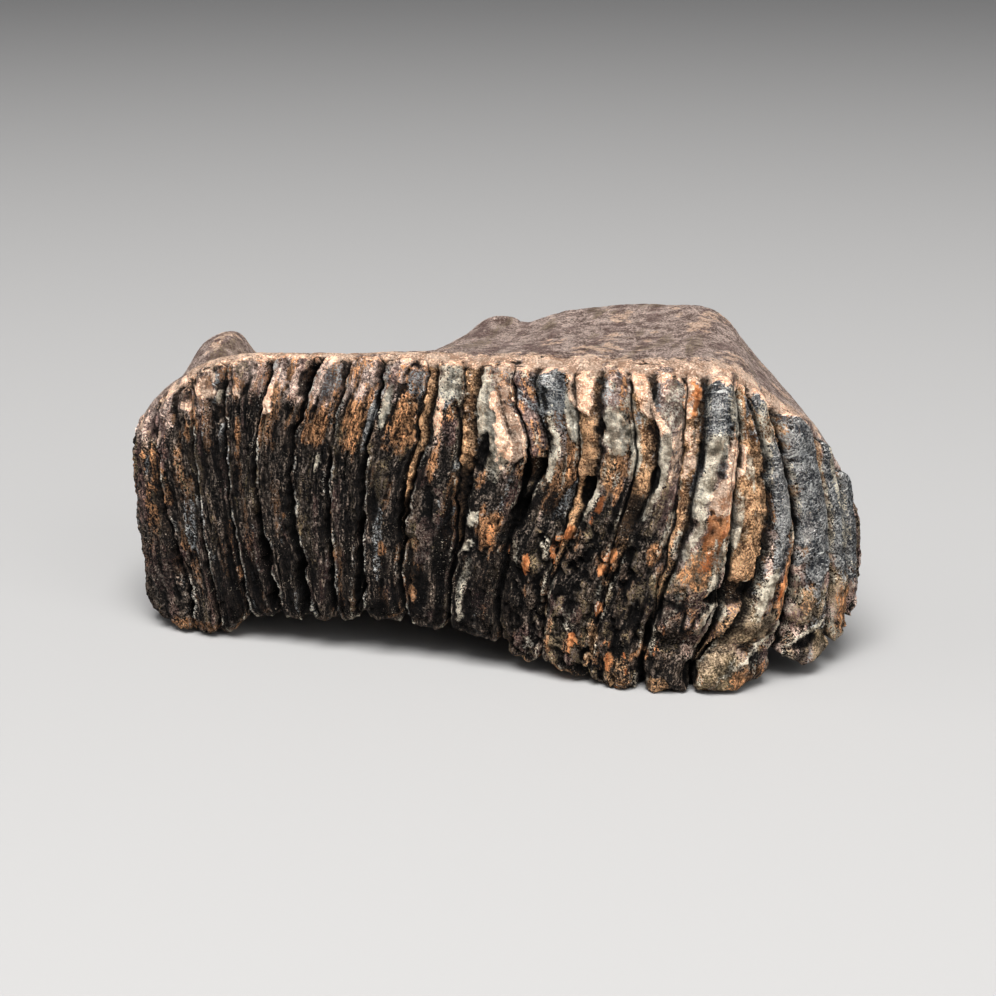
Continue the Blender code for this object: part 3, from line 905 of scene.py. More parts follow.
        # Painted shade in the cracks between the flakes and on the sunken ones.
        skin.lay(Finish.PIT_SHADE, amount * cracks * 0.6, here)
        skin.lay(Finish.PIT_SHADE, amount * ease(0.22, 0.12, kind) * 0.8, here)
        for finish in (Finish.CRUST, Finish.CEMENT):
            skin.show(finish)[here] *= 1 - 0.8 * amount * ease(0.7, 0.74, kind)
        for finish in (Finish.CRUST, Finish.PIT_SHADE):
            skin.show(finish)[here] *= 1 - 0.8 * amount * lumps
        shares = {
            Finish.RUST: 0.7 * ease(0.74, 0.75, kind) * ease(0.78, 0.77, kind),
            Finish.DENTINE: ease(0.965, 0.98, kind) * ease(0.7, 0.5, near),
            Finish.PALE_ENAMEL: 0.6 * ease(0.84, 0.86, kind) * ease(0.89, 0.87, kind),
            Finish.OLIVE: np.maximum(0.8 * ease(0.9, 0.92, kind) * ease(0.96, 0.94, kind), 0.7 * lumps),
        }
        for finish, share in shares.items():
            skin.lay(finish, amount * share, here)

    def paint_patches(self, skin: Skin) -> None:
        """Lays the patches that the near side shows.

        Args:
            skin: The points of a slab. Their relief and masks are changed in place.
        """
        warp = 0.3 * self.fibrous(skin, 2.6, 4, 12.1) + 0.22 * self.fibrous(skin, 1, 1.6, 5.5)
        fingers = 0.5 * self.fibrous(skin, 1.3, 12, 2.5)
        for finish, rows in PATCHES.items():
            for patch in itertools.starmap(Patch, rows):
                shown = (skin.near > 0.2) & (np.abs(skin.plate - patch.plate) < 1.6)
                here = np.flatnonzero(shown & (np.abs(skin.height - patch.height) < patch.tall * 1.5))
                if not len(here):
                    continue
                up = skin.height[here] - patch.height
                along = (skin.looked[here] - patch.plate) * skin.pitch[here] - patch.lean * up
                away = (np.abs(along / patch.wide) ** 2.4 + np.abs(up / patch.tall) ** 2.4) ** (1 / 2.4)
                away += warp[here]
                if finish in (Finish.RUST, Finish.PLUM, Finish.OLIVE):
                    away += fingers[here]
                shape = ease(1.2, 0.75, away) * skin.near[here]
                skin.lay(finish, shape * patch.amount, here)
                skin.out[here] += patch.rise * shape
                skin.claimed[here] = np.maximum(skin.claimed[here], shape * patch.amount)

    def weather_sides(self, skin: Skin) -> None:
        """Lays the finishes that follow from growth and decay on all the upright faces, with the dark
        crust low down partly painted shade.

        Args:
            skin: The points of a slab. Their relief and masks are changed in place.
        """
        near, far = skin.near * (1 - skin.end), skin.far * (1 - skin.end)
        upright = (skin.sides + skin.end).clip(0, 1)
        high = ease(50, 80, skin.height)
        back = ease(7.5, 10.5, skin.plate)
        clouds = self.cloudy(skin, 7, 2.2, 2)
        streaks = self.fibrous(skin, 1.8, 14, 4.9, 2)
        crust = skin.height - curve(self.crust_top, skin.plate) + 9 * clouds + 11 * streaks
        bare = ease(-0.15, 0.4, self.fibrous(skin, 3.5, 22, 14.4))
        # The crust makes the sides darker towards the bottom: partly the tooth's own dark crust, partly
        # painted shade low down.
        crust_and_low_shade = ease(17, -9, crust) * (1 - 0.9 * skin.claimed) * (1 - 0.6 * bare)
        skin.lay(Finish.CRUST, upright * crust_and_low_shade)
        rust = 0.08 + 0.4 * high + 0.7 * streaks - 0.4 * clouds + 0.16 * skin.middle
        skin.lay(Finish.RUST, upright * ease(0.4, 1.0, rust) * 0.8)
        light = ease(-8, 14, crust) * back * (1 - skin.show(Finish.BLUE_ENAMEL))
        skin.lay(Finish.WORN_TOP, upright * light * ease(-0.5, 0.35, clouds - 0.5 * streaks) * 0.95)
        skin.lay(Finish.PALE_ENAMEL, upright * light * ease(0.3, 0.75, streaks - 0.5 * clouds) * 0.8)
        skin.lay(Finish.BLUE_ENAMEL, near * light * high * ease(0.2, 0.7, -streaks - 0.4 * clouds) * 0.9)
        enamel = far * ease(0.2, 0.6, streaks + 0.6 * clouds + 0.25 * back)
        skin.lay(Finish.BLUE_ENAMEL, enamel * ease(0.75, 0.55, skin.middle) * 0.8)
        skin.lay(Finish.PLUM, upright * ease(0.1, 0.5, self.cloudy(skin, 11, 40)) * 0.75)
        skin.lay(Finish.OLIVE, upright * ease(0.15, 0.55, self.fibrous(skin, 4, 18, 90)) * 0.6)
        brow = near * (1 - back)
        brow = brow * ease(-9, -3, skin.height - curve(self.brow_foot, skin.plate) + 3 * clouds)
        for stain in (Finish.PLUM, Finish.OLIVE):
            skin.show(stain)[:] *= 1 - 0.8 * brow
        skin.lay(Finish.WORN_TOP, brow * 0.9)
        creamy = ease(0, 0.4, self.fibrous(skin, 4, 5, 66)) * ease(4, 2.6, skin.plate)
        skin.lay(Finish.PEACH, brow * creamy * 0.7)
        far_brow = ease(-8, -1, skin.height - curve(self.form.far_top, skin.plate) + 4 * clouds)
        skin.lay(Finish.WORN_TOP, far * far_brow * 0.8)

    def shade_sides(self, skin: Skin) -> None:
        """Lays the enamel lines along the slits, and painted shade: black on the plates' flanks beside the
        slits and in blots low down.

        Args:
            skin: The points of a slab. Their relief and masks are changed in place.
        """
        back = ease(7.5, 10.5, skin.plate)
        upright = (skin.sides + skin.end).clip(0, 1)
        pale_line = skin.sides * skin.edge * ease(-0.35, 0.35, self.fibrous(skin, 6, 6, 8.8))
        right_hand = np.where(skin.offset > 0, 1, 0.35)
        skin.lay(Finish.BLUE_ENAMEL, pale_line * right_hand * (1 - back) * 0.8)
        skin.lay(Finish.PALE_ENAMEL, pale_line * (0.35 * right_hand * (1 - back) + 0.6 * back))
        skin.out += self.enamel_relief * pale_line
        # Painted shade on each plate's flank beside its slit, so that the plate looks rounded.
        flank_shade = ease(0.4, 0.8, skin.middle) * ease(-0.35, 0.25, self.fibrous(skin, 5, 13, 63))
        flank_shade = flank_shade * np.where(skin.offset < 0, 1, 0.3) * (1 - 0.6 * back) * (1 - skin.inside)
        skin.lay(Finish.PIT_SHADE, skin.sides * flank_shade * 0.6 * (1 - skin.claimed))
        # Painted shade in black blots, more of them low down.
        dark = self.fibrous(skin, 3, 17, 101) + 0.5 * skin.middle - 0.3
        dark = dark + 0.3 * ease(35, 15, skin.height)
        shade_blots = ease(66, 50, skin.height + 8 * self.cloudy(skin, 7, 2.2, 2))
        shade_blots = shade_blots * ease(13.4, 12.2, skin.plate) * (1 - skin.claimed) * (1 - skin.edge)
        shade_blots = shade_blots * (0.25 + 0.75 * ease(1.6, 3, skin.plate)) * (1 - 0.7 * self.jumbled(skin))
        skin.lay(Finish.PIT_SHADE, upright * shade_blots * ease(-0.15, 0.3, dark) * 0.8)
        skin.show(Finish.BLUE_ENAMEL)[:] *= skin.arch
        skin.show(Finish.PALE_ENAMEL)[:] *= 0.3 + 0.7 * skin.arch

    def weather_base(self, skin: Skin) -> None:
        """Lays the finishes of the broken underside.

        Args:
            skin: The points of a slab. Their relief and masks are changed in place.
        """
        clouds = self.cloudy(skin, 6, 22, 2)
        skin.lay(Finish.CRUST, skin.base * ease(-0.1, 0.6, clouds))
        skin.lay(Finish.CEMENT, skin.base * ease(0.1, 0.7, -clouds) * 0.8)
        skin.lay(Finish.PALE_ENAMEL, skin.base * skin.edge * 0.8)

    def wear_top(self, skin: Skin) -> None:
        """Lays the worn chewing surface, where each plate shows as a faint band across.

        Args:
            skin: The points of a slab. Their relief and masks are changed in place.
        """
        top = skin.top
        skin.lay(Finish.WORN_TOP, ease(0.1, 0.6, top + 0.3 * self.cloudy(skin, 3, 70)))
        band = skin.band * ease(60, 78, skin.height)
        skin.lay(Finish.PEACH, band * ease(-0.9, -0.1, self.cloudy(skin, 5, 75, 2)))
        broken = ease(-0.1, 0.4, self.cloudy(skin, 5, 80))
        cracks = (band + 0.25 * top) * hump(self.cloudy(skin, (9, 1.3, 1.6), 44), 0.07) * broken
        skin.out -= self.top_crack_depth * cracks
        # Painted shade in the cracks of the band and the top.
        skin.lay(Finish.PIT_SHADE, cracks * 0.8)
        skin.out += top * self.top_grit_relief * self.cloudy(skin, 2.4, 90, 3)
        skin.out += top * self.top_waviness * self.cloudy(skin, 14, 90)
        lanes = np.stack((skin.plate * 1.7, skin.point[:, 1] / 26, skin.point[:, 1] / 26), -1)
        bands = np.cos(2 * np.pi * skin.looked + 1.5 * self.cloudy(skin, 9, 12))
        skin.out += top * self.top_band_relief * bands
        nub = hump(skin.plate - 1.7, 0.9) * ease(0, 0.4, skin.side)
        stains = self.cloudy(skin, (6, 19, 9), 95, 3) + 0.4 * self.noise.smooth(lanes + 51) + 0.35 * bands
        skin.lay(Finish.PLUM, top * ease(0.1, 0.9, stains) * 0.6 * (1 - nub))
        skin.lay(Finish.OLIVE, top * ease(0.25, 0.7, self.cloudy(skin, (7, 22, 9), 99, 3)) * 0.4)
        warm = self.cloudy(skin, (11, 30, 13), 104, 3) + 0.7 * nub
        skin.lay(Finish.PEACH, top * ease(0.15, 0.6, warm) * 0.55)

    def note_relief(self, skin: Skin) -> None:
        """Notes how far each point stands out from around it, for the painted shade in the hollows, which
        are also dirty, and the painted highlights on the worn edges.

        Args:
            skin: The points of a slab, with all their relief.
        """
        relief = skin.out.reshape(skin.shape)
        around = relief
        for reach in (1, 2, 3):
            around = (np.roll(around, reach, 1) + around + np.roll(around, -reach, 1)) / 3
            padded = np.pad(around, ((reach, reach), (0, 0)), mode="edge")
            around = (padded[2 * reach:] + padded[reach:-reach] + padded[:-2 * reach]) / 3
        proud = self.relief_contrast * (relief - around).ravel() + self.band_shine * skin.band
        skin.show(Finish.PROUD)[:] = np.clip(0.5 + proud, 0, 1)

    def apply(self, skin: Skin) -> Skin:
        """Works all the relief and finishes into the skin.

        Args:
            skin: The smooth surface of a slab.

        Returns:
            The same skin, with its masks laid and its points moved out and in.
        """
        skin.pitch = np.clip(skin.pitch, *self.pitch_range)
        steps = (
            self.cut_gaps, self.swell, self.fold_lip, self.paint_patches, self.weather_sides,
            self.shade_sides, self.weather_base, self.wear_top, self.lay_splints, self.break_up,
            self.grain_cement, self.split, self.roughen, self.note_relief,
        )
        for step in steps:
            step(skin)
        skin.point = skin.point + skin.normal * skin.out[:, None]
        skin.point[:, 2] = np.maximum(skin.point[:, 2], 0)
        return skin


@dataclass
class PlateSlab:
    """One plate of the tooth, as a closed slab with fine relief around its rim.

    A cap is the plate's outer face at an end of the tooth. Its points give a share of the way out
    from the middle, and the section's size and the plates from the end there.
    """

    number: int
    form: Form
    weathering: Weathering
    near_columns: int = 230
    top_columns: int = 200
    far_columns: int = 120
    base_columns: int = 110
    rim_rows: int = 30
    cap_rows: int = 84
    front_rim_rows: int = 11
    back_rim_rows: int = 6
    crowding: float = 0.6
    front_face: float = 0.55
    back_face: float = 0.45
    seam_shift: float = 0.12
    wall_size: float = 0.6
    crease_angle: float = 72
    front_cap: Points = (
        (0, 0, 0), (0.42, 0.55, 0), (0.56, 0.72, 0.1), (0.68, 0.88, 0.2), (0.82, 0.97, 0.4), (1, 1, 0.6),
    )
    back_cap: Points = (
        (0, 0, 0), (0.38, 0.45, 0), (0.54, 0.66, 0.11), (0.66, 0.8, 0.2), (0.78, 0.93, 0.4),
        (0.88, 0.98, 0.6), (1, 1, 0.8),
    )

    @property
    def name(self) -> str:
        """The piece's name."""
        return f"tooth_plate_{self.number + 1:02d}"

    @property
    def is_front(self) -> bool:
        """Whether this is the first plate."""
        return self.number == 0

    @property
    def is_back(self) -> bool:
        """Whether this is the last plate."""
        return self.number == self.form.plates - 1

    def turns(self) -> Array:
        """The angles of the columns around the section, closest together on the near side.

        Returns:
            One angle for each column.
        """
        counts = (self.far_columns, self.top_columns, self.near_columns, self.base_columns)
        parts = []
        for quarter, count in enumerate(counts):
            steps = np.arange(count) / count * 2 - 1
            parts.append(quarter * math.pi / 2 + np.arctan(steps))
        return np.concatenate(parts)

    def boundary(self, groove: int, turns: Array) -> Array:
        """The plate number of the seam at a groove, which runs along one edge of its cement.

        Args:
            groove: The groove's number.
            turns: The angles of the columns.

        Returns:
            A plate number for each column.
        """
        plate = np.full_like(turns, groove)
        if groove in (0, self.form.plates):
            return plate
        points = self.form.surface(plate, turns, np.ones_like(turns), 1)
        cement = self.weathering.at_heights("cement", np.full(len(turns), groove), points[:, 2])
        side, up = self.form.section(turns)
        near = on_face(-side, up)
        return plate - near * cement / PLATE_MM - (1 - near) * self.seam_shift

    def cap(self, points: Points) -> tuple[Array, Array]:
        """The section's size and the plates from the end, over the rows of a cap.

        Args:
            points: Rows of a share of the way out, a size and plates from the end.

        Returns:
            The size and the plates from the end, for each row of the cap.
        """
        rows = np.linspace(0, 1, self.cap_rows + 1)[1:]
        share, sizes, plates = np.array(points).T
        return curve(tuple(zip(share, sizes)), rows), curve(tuple(zip(share, plates)), rows)

    def rows(self, turns: Array) -> tuple[Array, Array]:
        """The plate number and the size of the section over the slab's rim.

        Args:
            turns: The angles of the columns.

        Returns:
            Two arrays of rows by columns. A row past each seam is included.
        """
        start, end = self.boundary(self.number, turns), self.boundary(self.number + 1, turns)
        steps = np.arange(-1, self.rim_rows + 2) / self.rim_rows
        steps = steps - self.crowding * np.sin(2 * math.pi * steps) / (2 * math.pi)
        before, after = np.empty((2, 0)), np.empty((2, 0))
        if self.is_front:
            before = np.array(self.cap(self.front_cap))
            start = np.full_like(turns, before[1, -1])
            steps = np.arange(1, self.front_rim_rows + 2) / self.front_rim_rows
        elif self.is_back:
            size, from_end = self.cap(self.back_cap)
            after = np.array((size[::-1], self.form.plates - from_end[::-1]))
            end = np.full_like(turns, after[1, 0])
            steps = np.arange(-1, self.back_rim_rows) / self.back_rim_rows
        rim = start + (end - start) * steps[:, None]
        plate = np.concatenate((
            np.repeat(before[1][:, None], len(turns), 1), rim, np.repeat(after[1][:, None], len(turns), 1),
        ))
        size = np.concatenate((before[0], np.ones(len(steps)), after[0]))
        return plate, np.repeat(size[:, None], len(turns), 1)

    def skin(self) -> Skin:
        """The slab's rim as a skin, weathered.

        Returns:
            The skin, with all its relief and its masks.
        """
        turns = self.turns()
        plate, size = self.rows(turns)
        grid = np.repeat(turns[None, :], len(plate), 0)
        face_size = self.back_face if self.is_back else self.front_face
        points = self.form.surface(plate.ravel(), grid.ravel(), size.ravel(), face_size)
        points = points.reshape(*plate.shape, 3)
        along = np.gradient(points, axis=0)
        around = np.roll(points, -1, 1) - np.roll(points, 1, 1)
        normal = np.cross(around, along)
        normal /= np.maximum(np.linalg.norm(normal, axis=2, keepdims=True), 1e-9)
        pitch = np.linalg.norm(along, axis=2) / np.maximum(np.gradient(plate, axis=0), 1e-3)
        kept = slice(0 if self.is_front else 1, len(plate) - (0 if self.is_back else 1))
        side, up = self.form.section(grid[kept].ravel())
        return self.weathering.apply(Skin(
            shape=plate[kept].shape,
            plate=plate[kept].ravel(),
            side=side,
            up=up,
            size=size[kept].ravel(),
            point=points[kept].reshape(-1, 3),
            normal=normal[kept].reshape(-1, 3),
            pitch=pitch[kept].ravel(),
        ))

    def wall(self, ring: Array) -> Array:
        """The smaller ring inside the tooth that a slab's outermost row of points narrows to."""
        middle = ring.mean(axis=0)
        return middle + (ring - middle) * self.wall_size

    def closed(self, skin: Skin) -> tuple[Array, Array]:
        """Closes the rim to a tube with a point at each end.

        Args:
            skin: The rim.

        Returns:
            The points as rows by columns by coordinates, and the painted values of each.
        """
        rows = list(skin.point.reshape(*skin.shape, 3))
        grown = np.stack((skin.looked * PLATE_MM, skin.point[:, 1], skin.point[:, 2]))
        values = np.concatenate((skin.masks, grown)).T
        painted = list(values.reshape(*skin.shape, -1))
        first, last = (np.broadcast_to(row.mean(axis=0), row.shape) for row in (rows[0], rows[-1]))
        if not self.is_front:
            rows.insert(0, self.wall(rows[0]))
            painted.insert(0, painted[0])
        if not self.is_back:
            rows.append(self.wall(rows[-1]))
            painted.append(painted[-1])
        grid = np.array([first, *rows, last])
        painted = np.array([painted[0], *painted, painted[-1]])
        return tuple(np.concatenate((part, part[:, :1]), axis=1) for part in (grid, painted))

    def paint(self, mesh: bpy.types.Mesh, painted: Array) -> None:
        """Writes the masks and the place among the growing plates as the mesh's attributes.

        Args:
            mesh: The slab's mesh.
            painted: The values of each of its points.
        """
        for row, name in enumerate(MASK_NAMES):
            attribute = mesh.attributes.new(name, "FLOAT_COLOR", "POINT")
            attribute.data.foreach_set("color", painted[..., 4 * row:4 * row + 4].ravel())
        attribute = mesh.attributes.new(GROWN_NAME, "FLOAT_VECTOR", "POINT")
        attribute.data.foreach_set("vector", painted[..., len(Finish):].ravel())

    def build(self) -> bpy.types.Object:
        """Makes the slab from a grid that is rolled into a tube and closed at both ends.

        Returns:
            The slab's object, with its masks as attributes.
        """
        grid, painted = self.closed(self.skin())
        bpy.ops.object.select_all(action="DESELECT")
        bpy.ops.mesh.primitive_grid_add(
            x_subdivisions=grid.shape[1] - 1, y_subdivisions=grid.shape[0] - 1, size=1
        )
        slab = bpy.context.active_object
        slab.name = slab.data.name = self.name
        slab.data.vertices.foreach_set("co", (grid * MM).ravel())
        self.paint(slab.data, painted)
        slab.data.update()
        bpy.ops.object.mode_set(mode="EDIT")
        bpy.ops.mesh.select_all(action="SELECT")
        bpy.ops.mesh.remove_doubles(threshold=1e-7)
        bpy.ops.mesh.normals_make_consistent(inside=False)
        bpy.ops.object.mode_set(mode="OBJECT")
        bpy.ops.object.shade_smooth_by_angle(angle=math.radians(self.crease_angle))
        return slab


class Graph:
    """Shorthand for building a node tree."""

    def __init__(self, tree: bpy.types.NodeTree) -> None:
        """Takes the tree to build in."""
        self.tree = tree

    def node(self, kind: str, inputs: Inputs | None = None, **settings: object) -> bpy.types.Node:
        """Adds a node of a kind, sets its properties and feeds its inputs.

        Args:
            kind: The node's type.
            inputs: What goes into its inputs, by name or by number.
            settings: Its properties, which are set before its inputs are read.

        Returns:
            The node.
        """
        node = self.tree.nodes.new(kind)
        for name, value in settings.items():
            setattr(node, name, value)
        for name, value in (inputs or {}).items():
            self.feed(node.inputs[name], value)
        return node

    def feed(self, socket: Socket, value: object) -> None:
        """Links an output into a socket, or sets the socket's own value.

        Args:
            socket: The input.
            value: Another node's output, or a plain value.
        """
        if isinstance(value, Socket):
            self.tree.links.new(value, socket)
        else:
            socket.default_value = value

    def math(self, operation: str, *values: object) -> Socket:
        """A math node's result."""
        return self.node("ShaderNodeMath", dict(enumerate(values)), operation=operation).outputs[0]

    def stretch(self, vector: object, scale: Triple) -> Socket:
        """A vector with each coordinate multiplied."""
        inputs = {0: vector, 1: scale}
        return self.node("ShaderNodeVectorMath", inputs, operation="MULTIPLY").outputs[0]

    def noise(self, vector: object, scale: float, detail: float, roughness: float = 0.55) -> Socket:
        """A noise texture's value."""
        inputs = {"Vector": vector, "Scale": scale, "Detail": detail, "Roughness": roughness}
        return self.node("ShaderNodeTexNoise", inputs).outputs["Fac"]

    def mix(self, share: object, first: object, second: object) -> Socket:
        """Two colours mixed.

        Args:
            share: How much of the second colour there is.
            first: The first colour.
            second: The second colour.

        Returns:
            The mixed colour.
        """
        inputs = {"Factor": share, "A": first, "B": second}
        node = self.node("ShaderNodeMix", inputs, data_type="RGBA")
        return [socket for socket in node.outputs if socket.type == "RGBA"][0]

    def blend(self, share: object, first: object, second: object) -> Socket:
        """Two numbers mixed."""
        inputs = {"Factor": share, "A": first, "B": second}
        return self.node("ShaderNodeMix", inputs, data_type="FLOAT").outputs[0]

    def ramp(self, value: object, low: float, high: float) -> Socket:
        """A value that rises smoothly from 0 at low to 1 at high. With low above high, it falls."""
        inputs = {"Value": value, "From Min": low, "From Max": high}
        return self.node("ShaderNodeMapRange", inputs, interpolation_type="SMOOTHSTEP").outputs[0]

    def channels(self, name: str) -> list[Socket]:
        """The four channels of a painted attribute.

        Args:
            name: The attribute's name.

        Returns:
            Red, green, blue and alpha.
        """
        painted = self.node("ShaderNodeAttribute", attribute_name=name)
        parts = self.node("ShaderNodeSeparateColor", {0: painted.outputs["Color"]})
        return [*parts.outputs[:3], painted.outputs["Alpha"]]


def srgb(red: int, green: int, blue: int) -> Colour:
    """A colour given as it looks on a screen, 0 to 255, in the linear values that a shader takes.

    Args:
        red: The red part.
        green: The green part.
        blue: The blue part.

    Returns:
        The colour with a full alpha.
    """
    shown = np.array((red, green, blue)) / 255
    linear = np.where(shown <= 0.04045, shown / 12.92, ((shown + 0.055) / 1.055) ** 2.4)
    return (*linear, 1)


@dataclass(frozen=True)
class Layer:
    """How one finish looks: its darker and lighter tone, its roughness and what its tone follows.

    Cover is how much of what lies under it the finish hides, ragged is how chipped its edge is, and
    edge is the grain that its edge follows. A gather above 1 keeps the lighter tone to fewer places.
    """

    finish: Finish | None
    dark: Bytes
    light: Bytes
    roughness: float
    tone: str
    cover: float = 0.85
    ragged: float = 0.7
    edge: str = "strand"
    gather: float = 1


LAYERS = (
    Layer(None, (12, 11, 11), (156, 133, 115), 0.55, "strand", gather=2.3),
    Layer(Finish.WORN_TOP, (112, 89, 80), (234, 209, 195), 0.5, "speckle", 0.92, 0.9, "grit"),
    Layer(Finish.PLUM, (40, 29, 31), (122, 92, 88), 0.6, "strand", 0.7),
    Layer(Finish.OLIVE, (62, 54, 41), (152, 134, 104), 0.8, "speckle", 0.8, 0.9, "grit"),
    Layer(Finish.RUST, (56, 34, 22), (206, 152, 107), 0.55, "strand", 0.92, 1.1, gather=1.1),
    Layer(Finish.CRUST, (3, 3, 4), (119, 108, 99), 0.55, "strand", 0.95, 1.1, gather=4.4),
    Layer(Finish.CEMENT, (84, 58, 38), (212, 169, 127), 0.85, "speckle", 0.92, 0.7, "grit"),
    Layer(Finish.DENTINE, (144, 82, 44), (216, 150, 100), 0.55, "fibre", 0.9, 0.5, "grit"),
    Layer(Finish.BLUE_ENAMEL, (36, 40, 46), (188, 191, 191), 0.42, "rings", 0.94, 0.7, "grit", 1.15),
    Layer(Finish.PALE_ENAMEL, (98, 92, 80), (206, 200, 184), 0.5, "clouds", 0.88, 0.9, "grit"),
    Layer(Finish.PEACH, (186, 146, 119), (244, 213, 188), 0.6, "speckle", 0.9, 0.8, "clouds"),
    # The tones of the painted shade in pits, slits and cracks.
    Layer(Finish.PIT_SHADE, (4, 4, 4), (18, 15, 14), 0.95, "grit", 0.95, 0.4, "grit"),
)


class FossilMaterial:
    """The stone-like finish of the whole tooth, layered by the painted masks.

    The scales of the noise are how many of its waves lie in a metre of the tooth. The noise that
    follows the plates reads their place in millimetres, so its scales are for a millimetre.
    """

    grains = ("Fibre", "Strand", "Grit", "Clouds", "Speckle", "Rings")
    grit_scale = 1700
    cloud_scale = 260
    fibre_scale = 0.7
    strand_scale = 1.7
    arc_scale = 0.8
    arc_drop = 14
    pepper_scale = 2100
    pepper_tone = srgb(12, 11, 11)
    glint_scale = 2600
    glint_spread = 170
    glint_tone = srgb(196, 184, 166)
    # Painted shade in the hollows, with their dirty tone, and painted highlights on what stands out, with
    # its wear.
    dirt_and_shade_tone = srgb(9, 8, 8)
    dirt_and_shade_cover = 0.88
    wear_and_highlight_gain = (2.1, 2, 1.9)
    grit_share = 0.12
    bump_depth = 0.0007
    specular = 0.1
    smooth_finishes = (Finish.PEACH, Finish.DENTINE, Finish.CEMENT, Finish.OLIVE, Finish.PALE_ENAMEL)

    def __init__(self) -> None:
        """Builds the shared groups and then the material."""
        self.ragged_group = self.make_ragged_group()
        self.grain_group = self.make_grain_group()
        self.material = self.make_material()

    def new_group(self, name: str, inputs: dict[str, str], outputs: tuple[str, ...]) -> Graph:
        """Makes an empty node group with named sockets.

        Args:
            name: The group's name.
            inputs: The kind of each input, by its name.
            outputs: The names of its outputs, which are all numbers.

        Returns:
            The graph to build it with.
        """
        tree = bpy.data.node_groups.new(name, "ShaderNodeTree")
        for label, kind in inputs.items():
            tree.interface.new_socket(label, in_out="INPUT", socket_type=kind)
        for label in outputs:
            tree.interface.new_socket(label, in_out="OUTPUT", socket_type="NodeSocketFloat")
        return Graph(tree)

    def make_ragged_group(self) -> bpy.types.NodeTree:
        """A group that gives a soft mask the crisp, chipped edge of a real finish.

        Returns:
            The group's tree.
        """
        names = ("Mask", "Noise", "Chipping")
        graph = self.new_group("ragged edge", dict.fromkeys(names, "NodeSocketFloat"), ("Mask",))
        mask, noise, chipping = graph.node("NodeGroupInput").outputs[:3]
        outputs = graph.node("NodeGroupOutput").inputs
        chipped = graph.math("MULTIPLY_ADD", graph.math("SUBTRACT", noise, 0.5), chipping, mask)
        crisp = graph.ramp(chipped, 0.3, 0.62)
        present = graph.ramp(mask, 0.02, 0.15)
        graph.feed(outputs["Mask"], graph.math("MULTIPLY", crisp, present))
        return graph.tree

    def make_grain_group(self) -> bpy.types.NodeTree:
        """A group that gives the fine tones of the stone: fibres, grit, clouds and growth rings.

        Returns:
            The group's tree.
        """
        names = ("Vector", "Grown")
        graph = self.new_group("fossil grain", dict.fromkeys(names, "NodeSocketVector"), self.grains)
        vector, grown = graph.node("NodeGroupInput").outputs[:2]
        outputs = graph.node("NodeGroupOutput").inputs
        grit = graph.noise(vector, self.grit_scale, 3, 0.7)
        clouds = graph.noise(vector, self.cloud_scale, 5, 0.65)
        fibres = graph.noise(graph.stretch(grown, (1, 1, 0.1)), self.fibre_scale, 4, 0.6)
        strands = graph.noise(graph.stretch(grown, (1, 1, 0.16)), self.strand_scale, 3, 0.7)
        values = {
            "Fibre": (fibres, 0.38, 0.63),
            "Strand": (graph.blend(0.4, strands, grit), 0.41, 0.6),
            "Grit": (grit, 0.38, 0.63),
            "Clouds": (clouds, 0.38, 0.63),
            "Speckle": (graph.blend(0.55, clouds, grit), 0.42, 0.59),
        }
        for label, (value, low, high) in values.items():
            graph.feed(outputs[label], graph.ramp(value, low, high))
        mottled = graph.math("MULTIPLY", graph.ramp(graph.blend(0.5, clouds, grit), 0.4, 0.62), 0.7)
        scratched = graph.ramp(self.arcs(graph, grown), 0.57, 0.68)
        graph.feed(outputs["Rings"], graph.math("MAXIMUM", mottled, scratched))
        return graph.tree

    def arcs(self, graph: Graph, grown: object) -> Socket:
        """Fine growth lines that arch over each plate, highest in its middle.

        Args:
            graph: The group's graph.
            grown: The place among the plates.

        Returns:
            A value that is high on the lines.
        """
        along, across, height = graph.node("ShaderNodeSeparateXYZ", {0: grown}).outputs
        share = graph.math("FRACT", graph.math("DIVIDE", along, PLATE_MM))
        from_middle = graph.math("ABSOLUTE", graph.math("SUBTRACT", share, 0.5))
        drop = graph.math("MULTIPLY", graph.math("POWER", from_middle, 2), self.arc_drop)
        arched = graph.math("ADD", height, drop)
        joined = graph.node("ShaderNodeCombineXYZ", {0: along, 1: across, 2: arched})
        return graph.noise(graph.stretch(joined.outputs[0], (0.4, 0.4, 2)), self.arc_scale, 2, 0.6)

    def layered(self, graph: Graph, tones: Sockets, channels: Sockets) -> tuple[object, object]:
        """Lays the finishes over each other by their masks.

        Args:
            graph: The material's graph.
            tones: The fine tones, by their names in small letters.
            channels: The painted masks, by finish.

        Returns:
            The colour and the roughness.
        """
        colour, roughness = None, None
        for layer in LAYERS:
            tone = graph.math("POWER", tones[layer.tone], layer.gather)
            own = graph.mix(tone, srgb(*layer.dark), srgb(*layer.light))
            if layer.finish is None:
                colour, roughness = own, layer.roughness
                continue
            painted, noise = channels[layer.finish], tones[layer.edge]
            inputs = {"Mask": painted, "Noise": noise, "Chipping": layer.ragged}
            edge = graph.node("ShaderNodeGroup", inputs, node_tree=self.ragged_group)
            mask = graph.math("MULTIPLY", edge.outputs["Mask"], layer.cover)
            colour = graph.mix(mask, colour, own)
            roughness = graph.blend(mask, roughness, layer.roughness)
        return colour, roughness

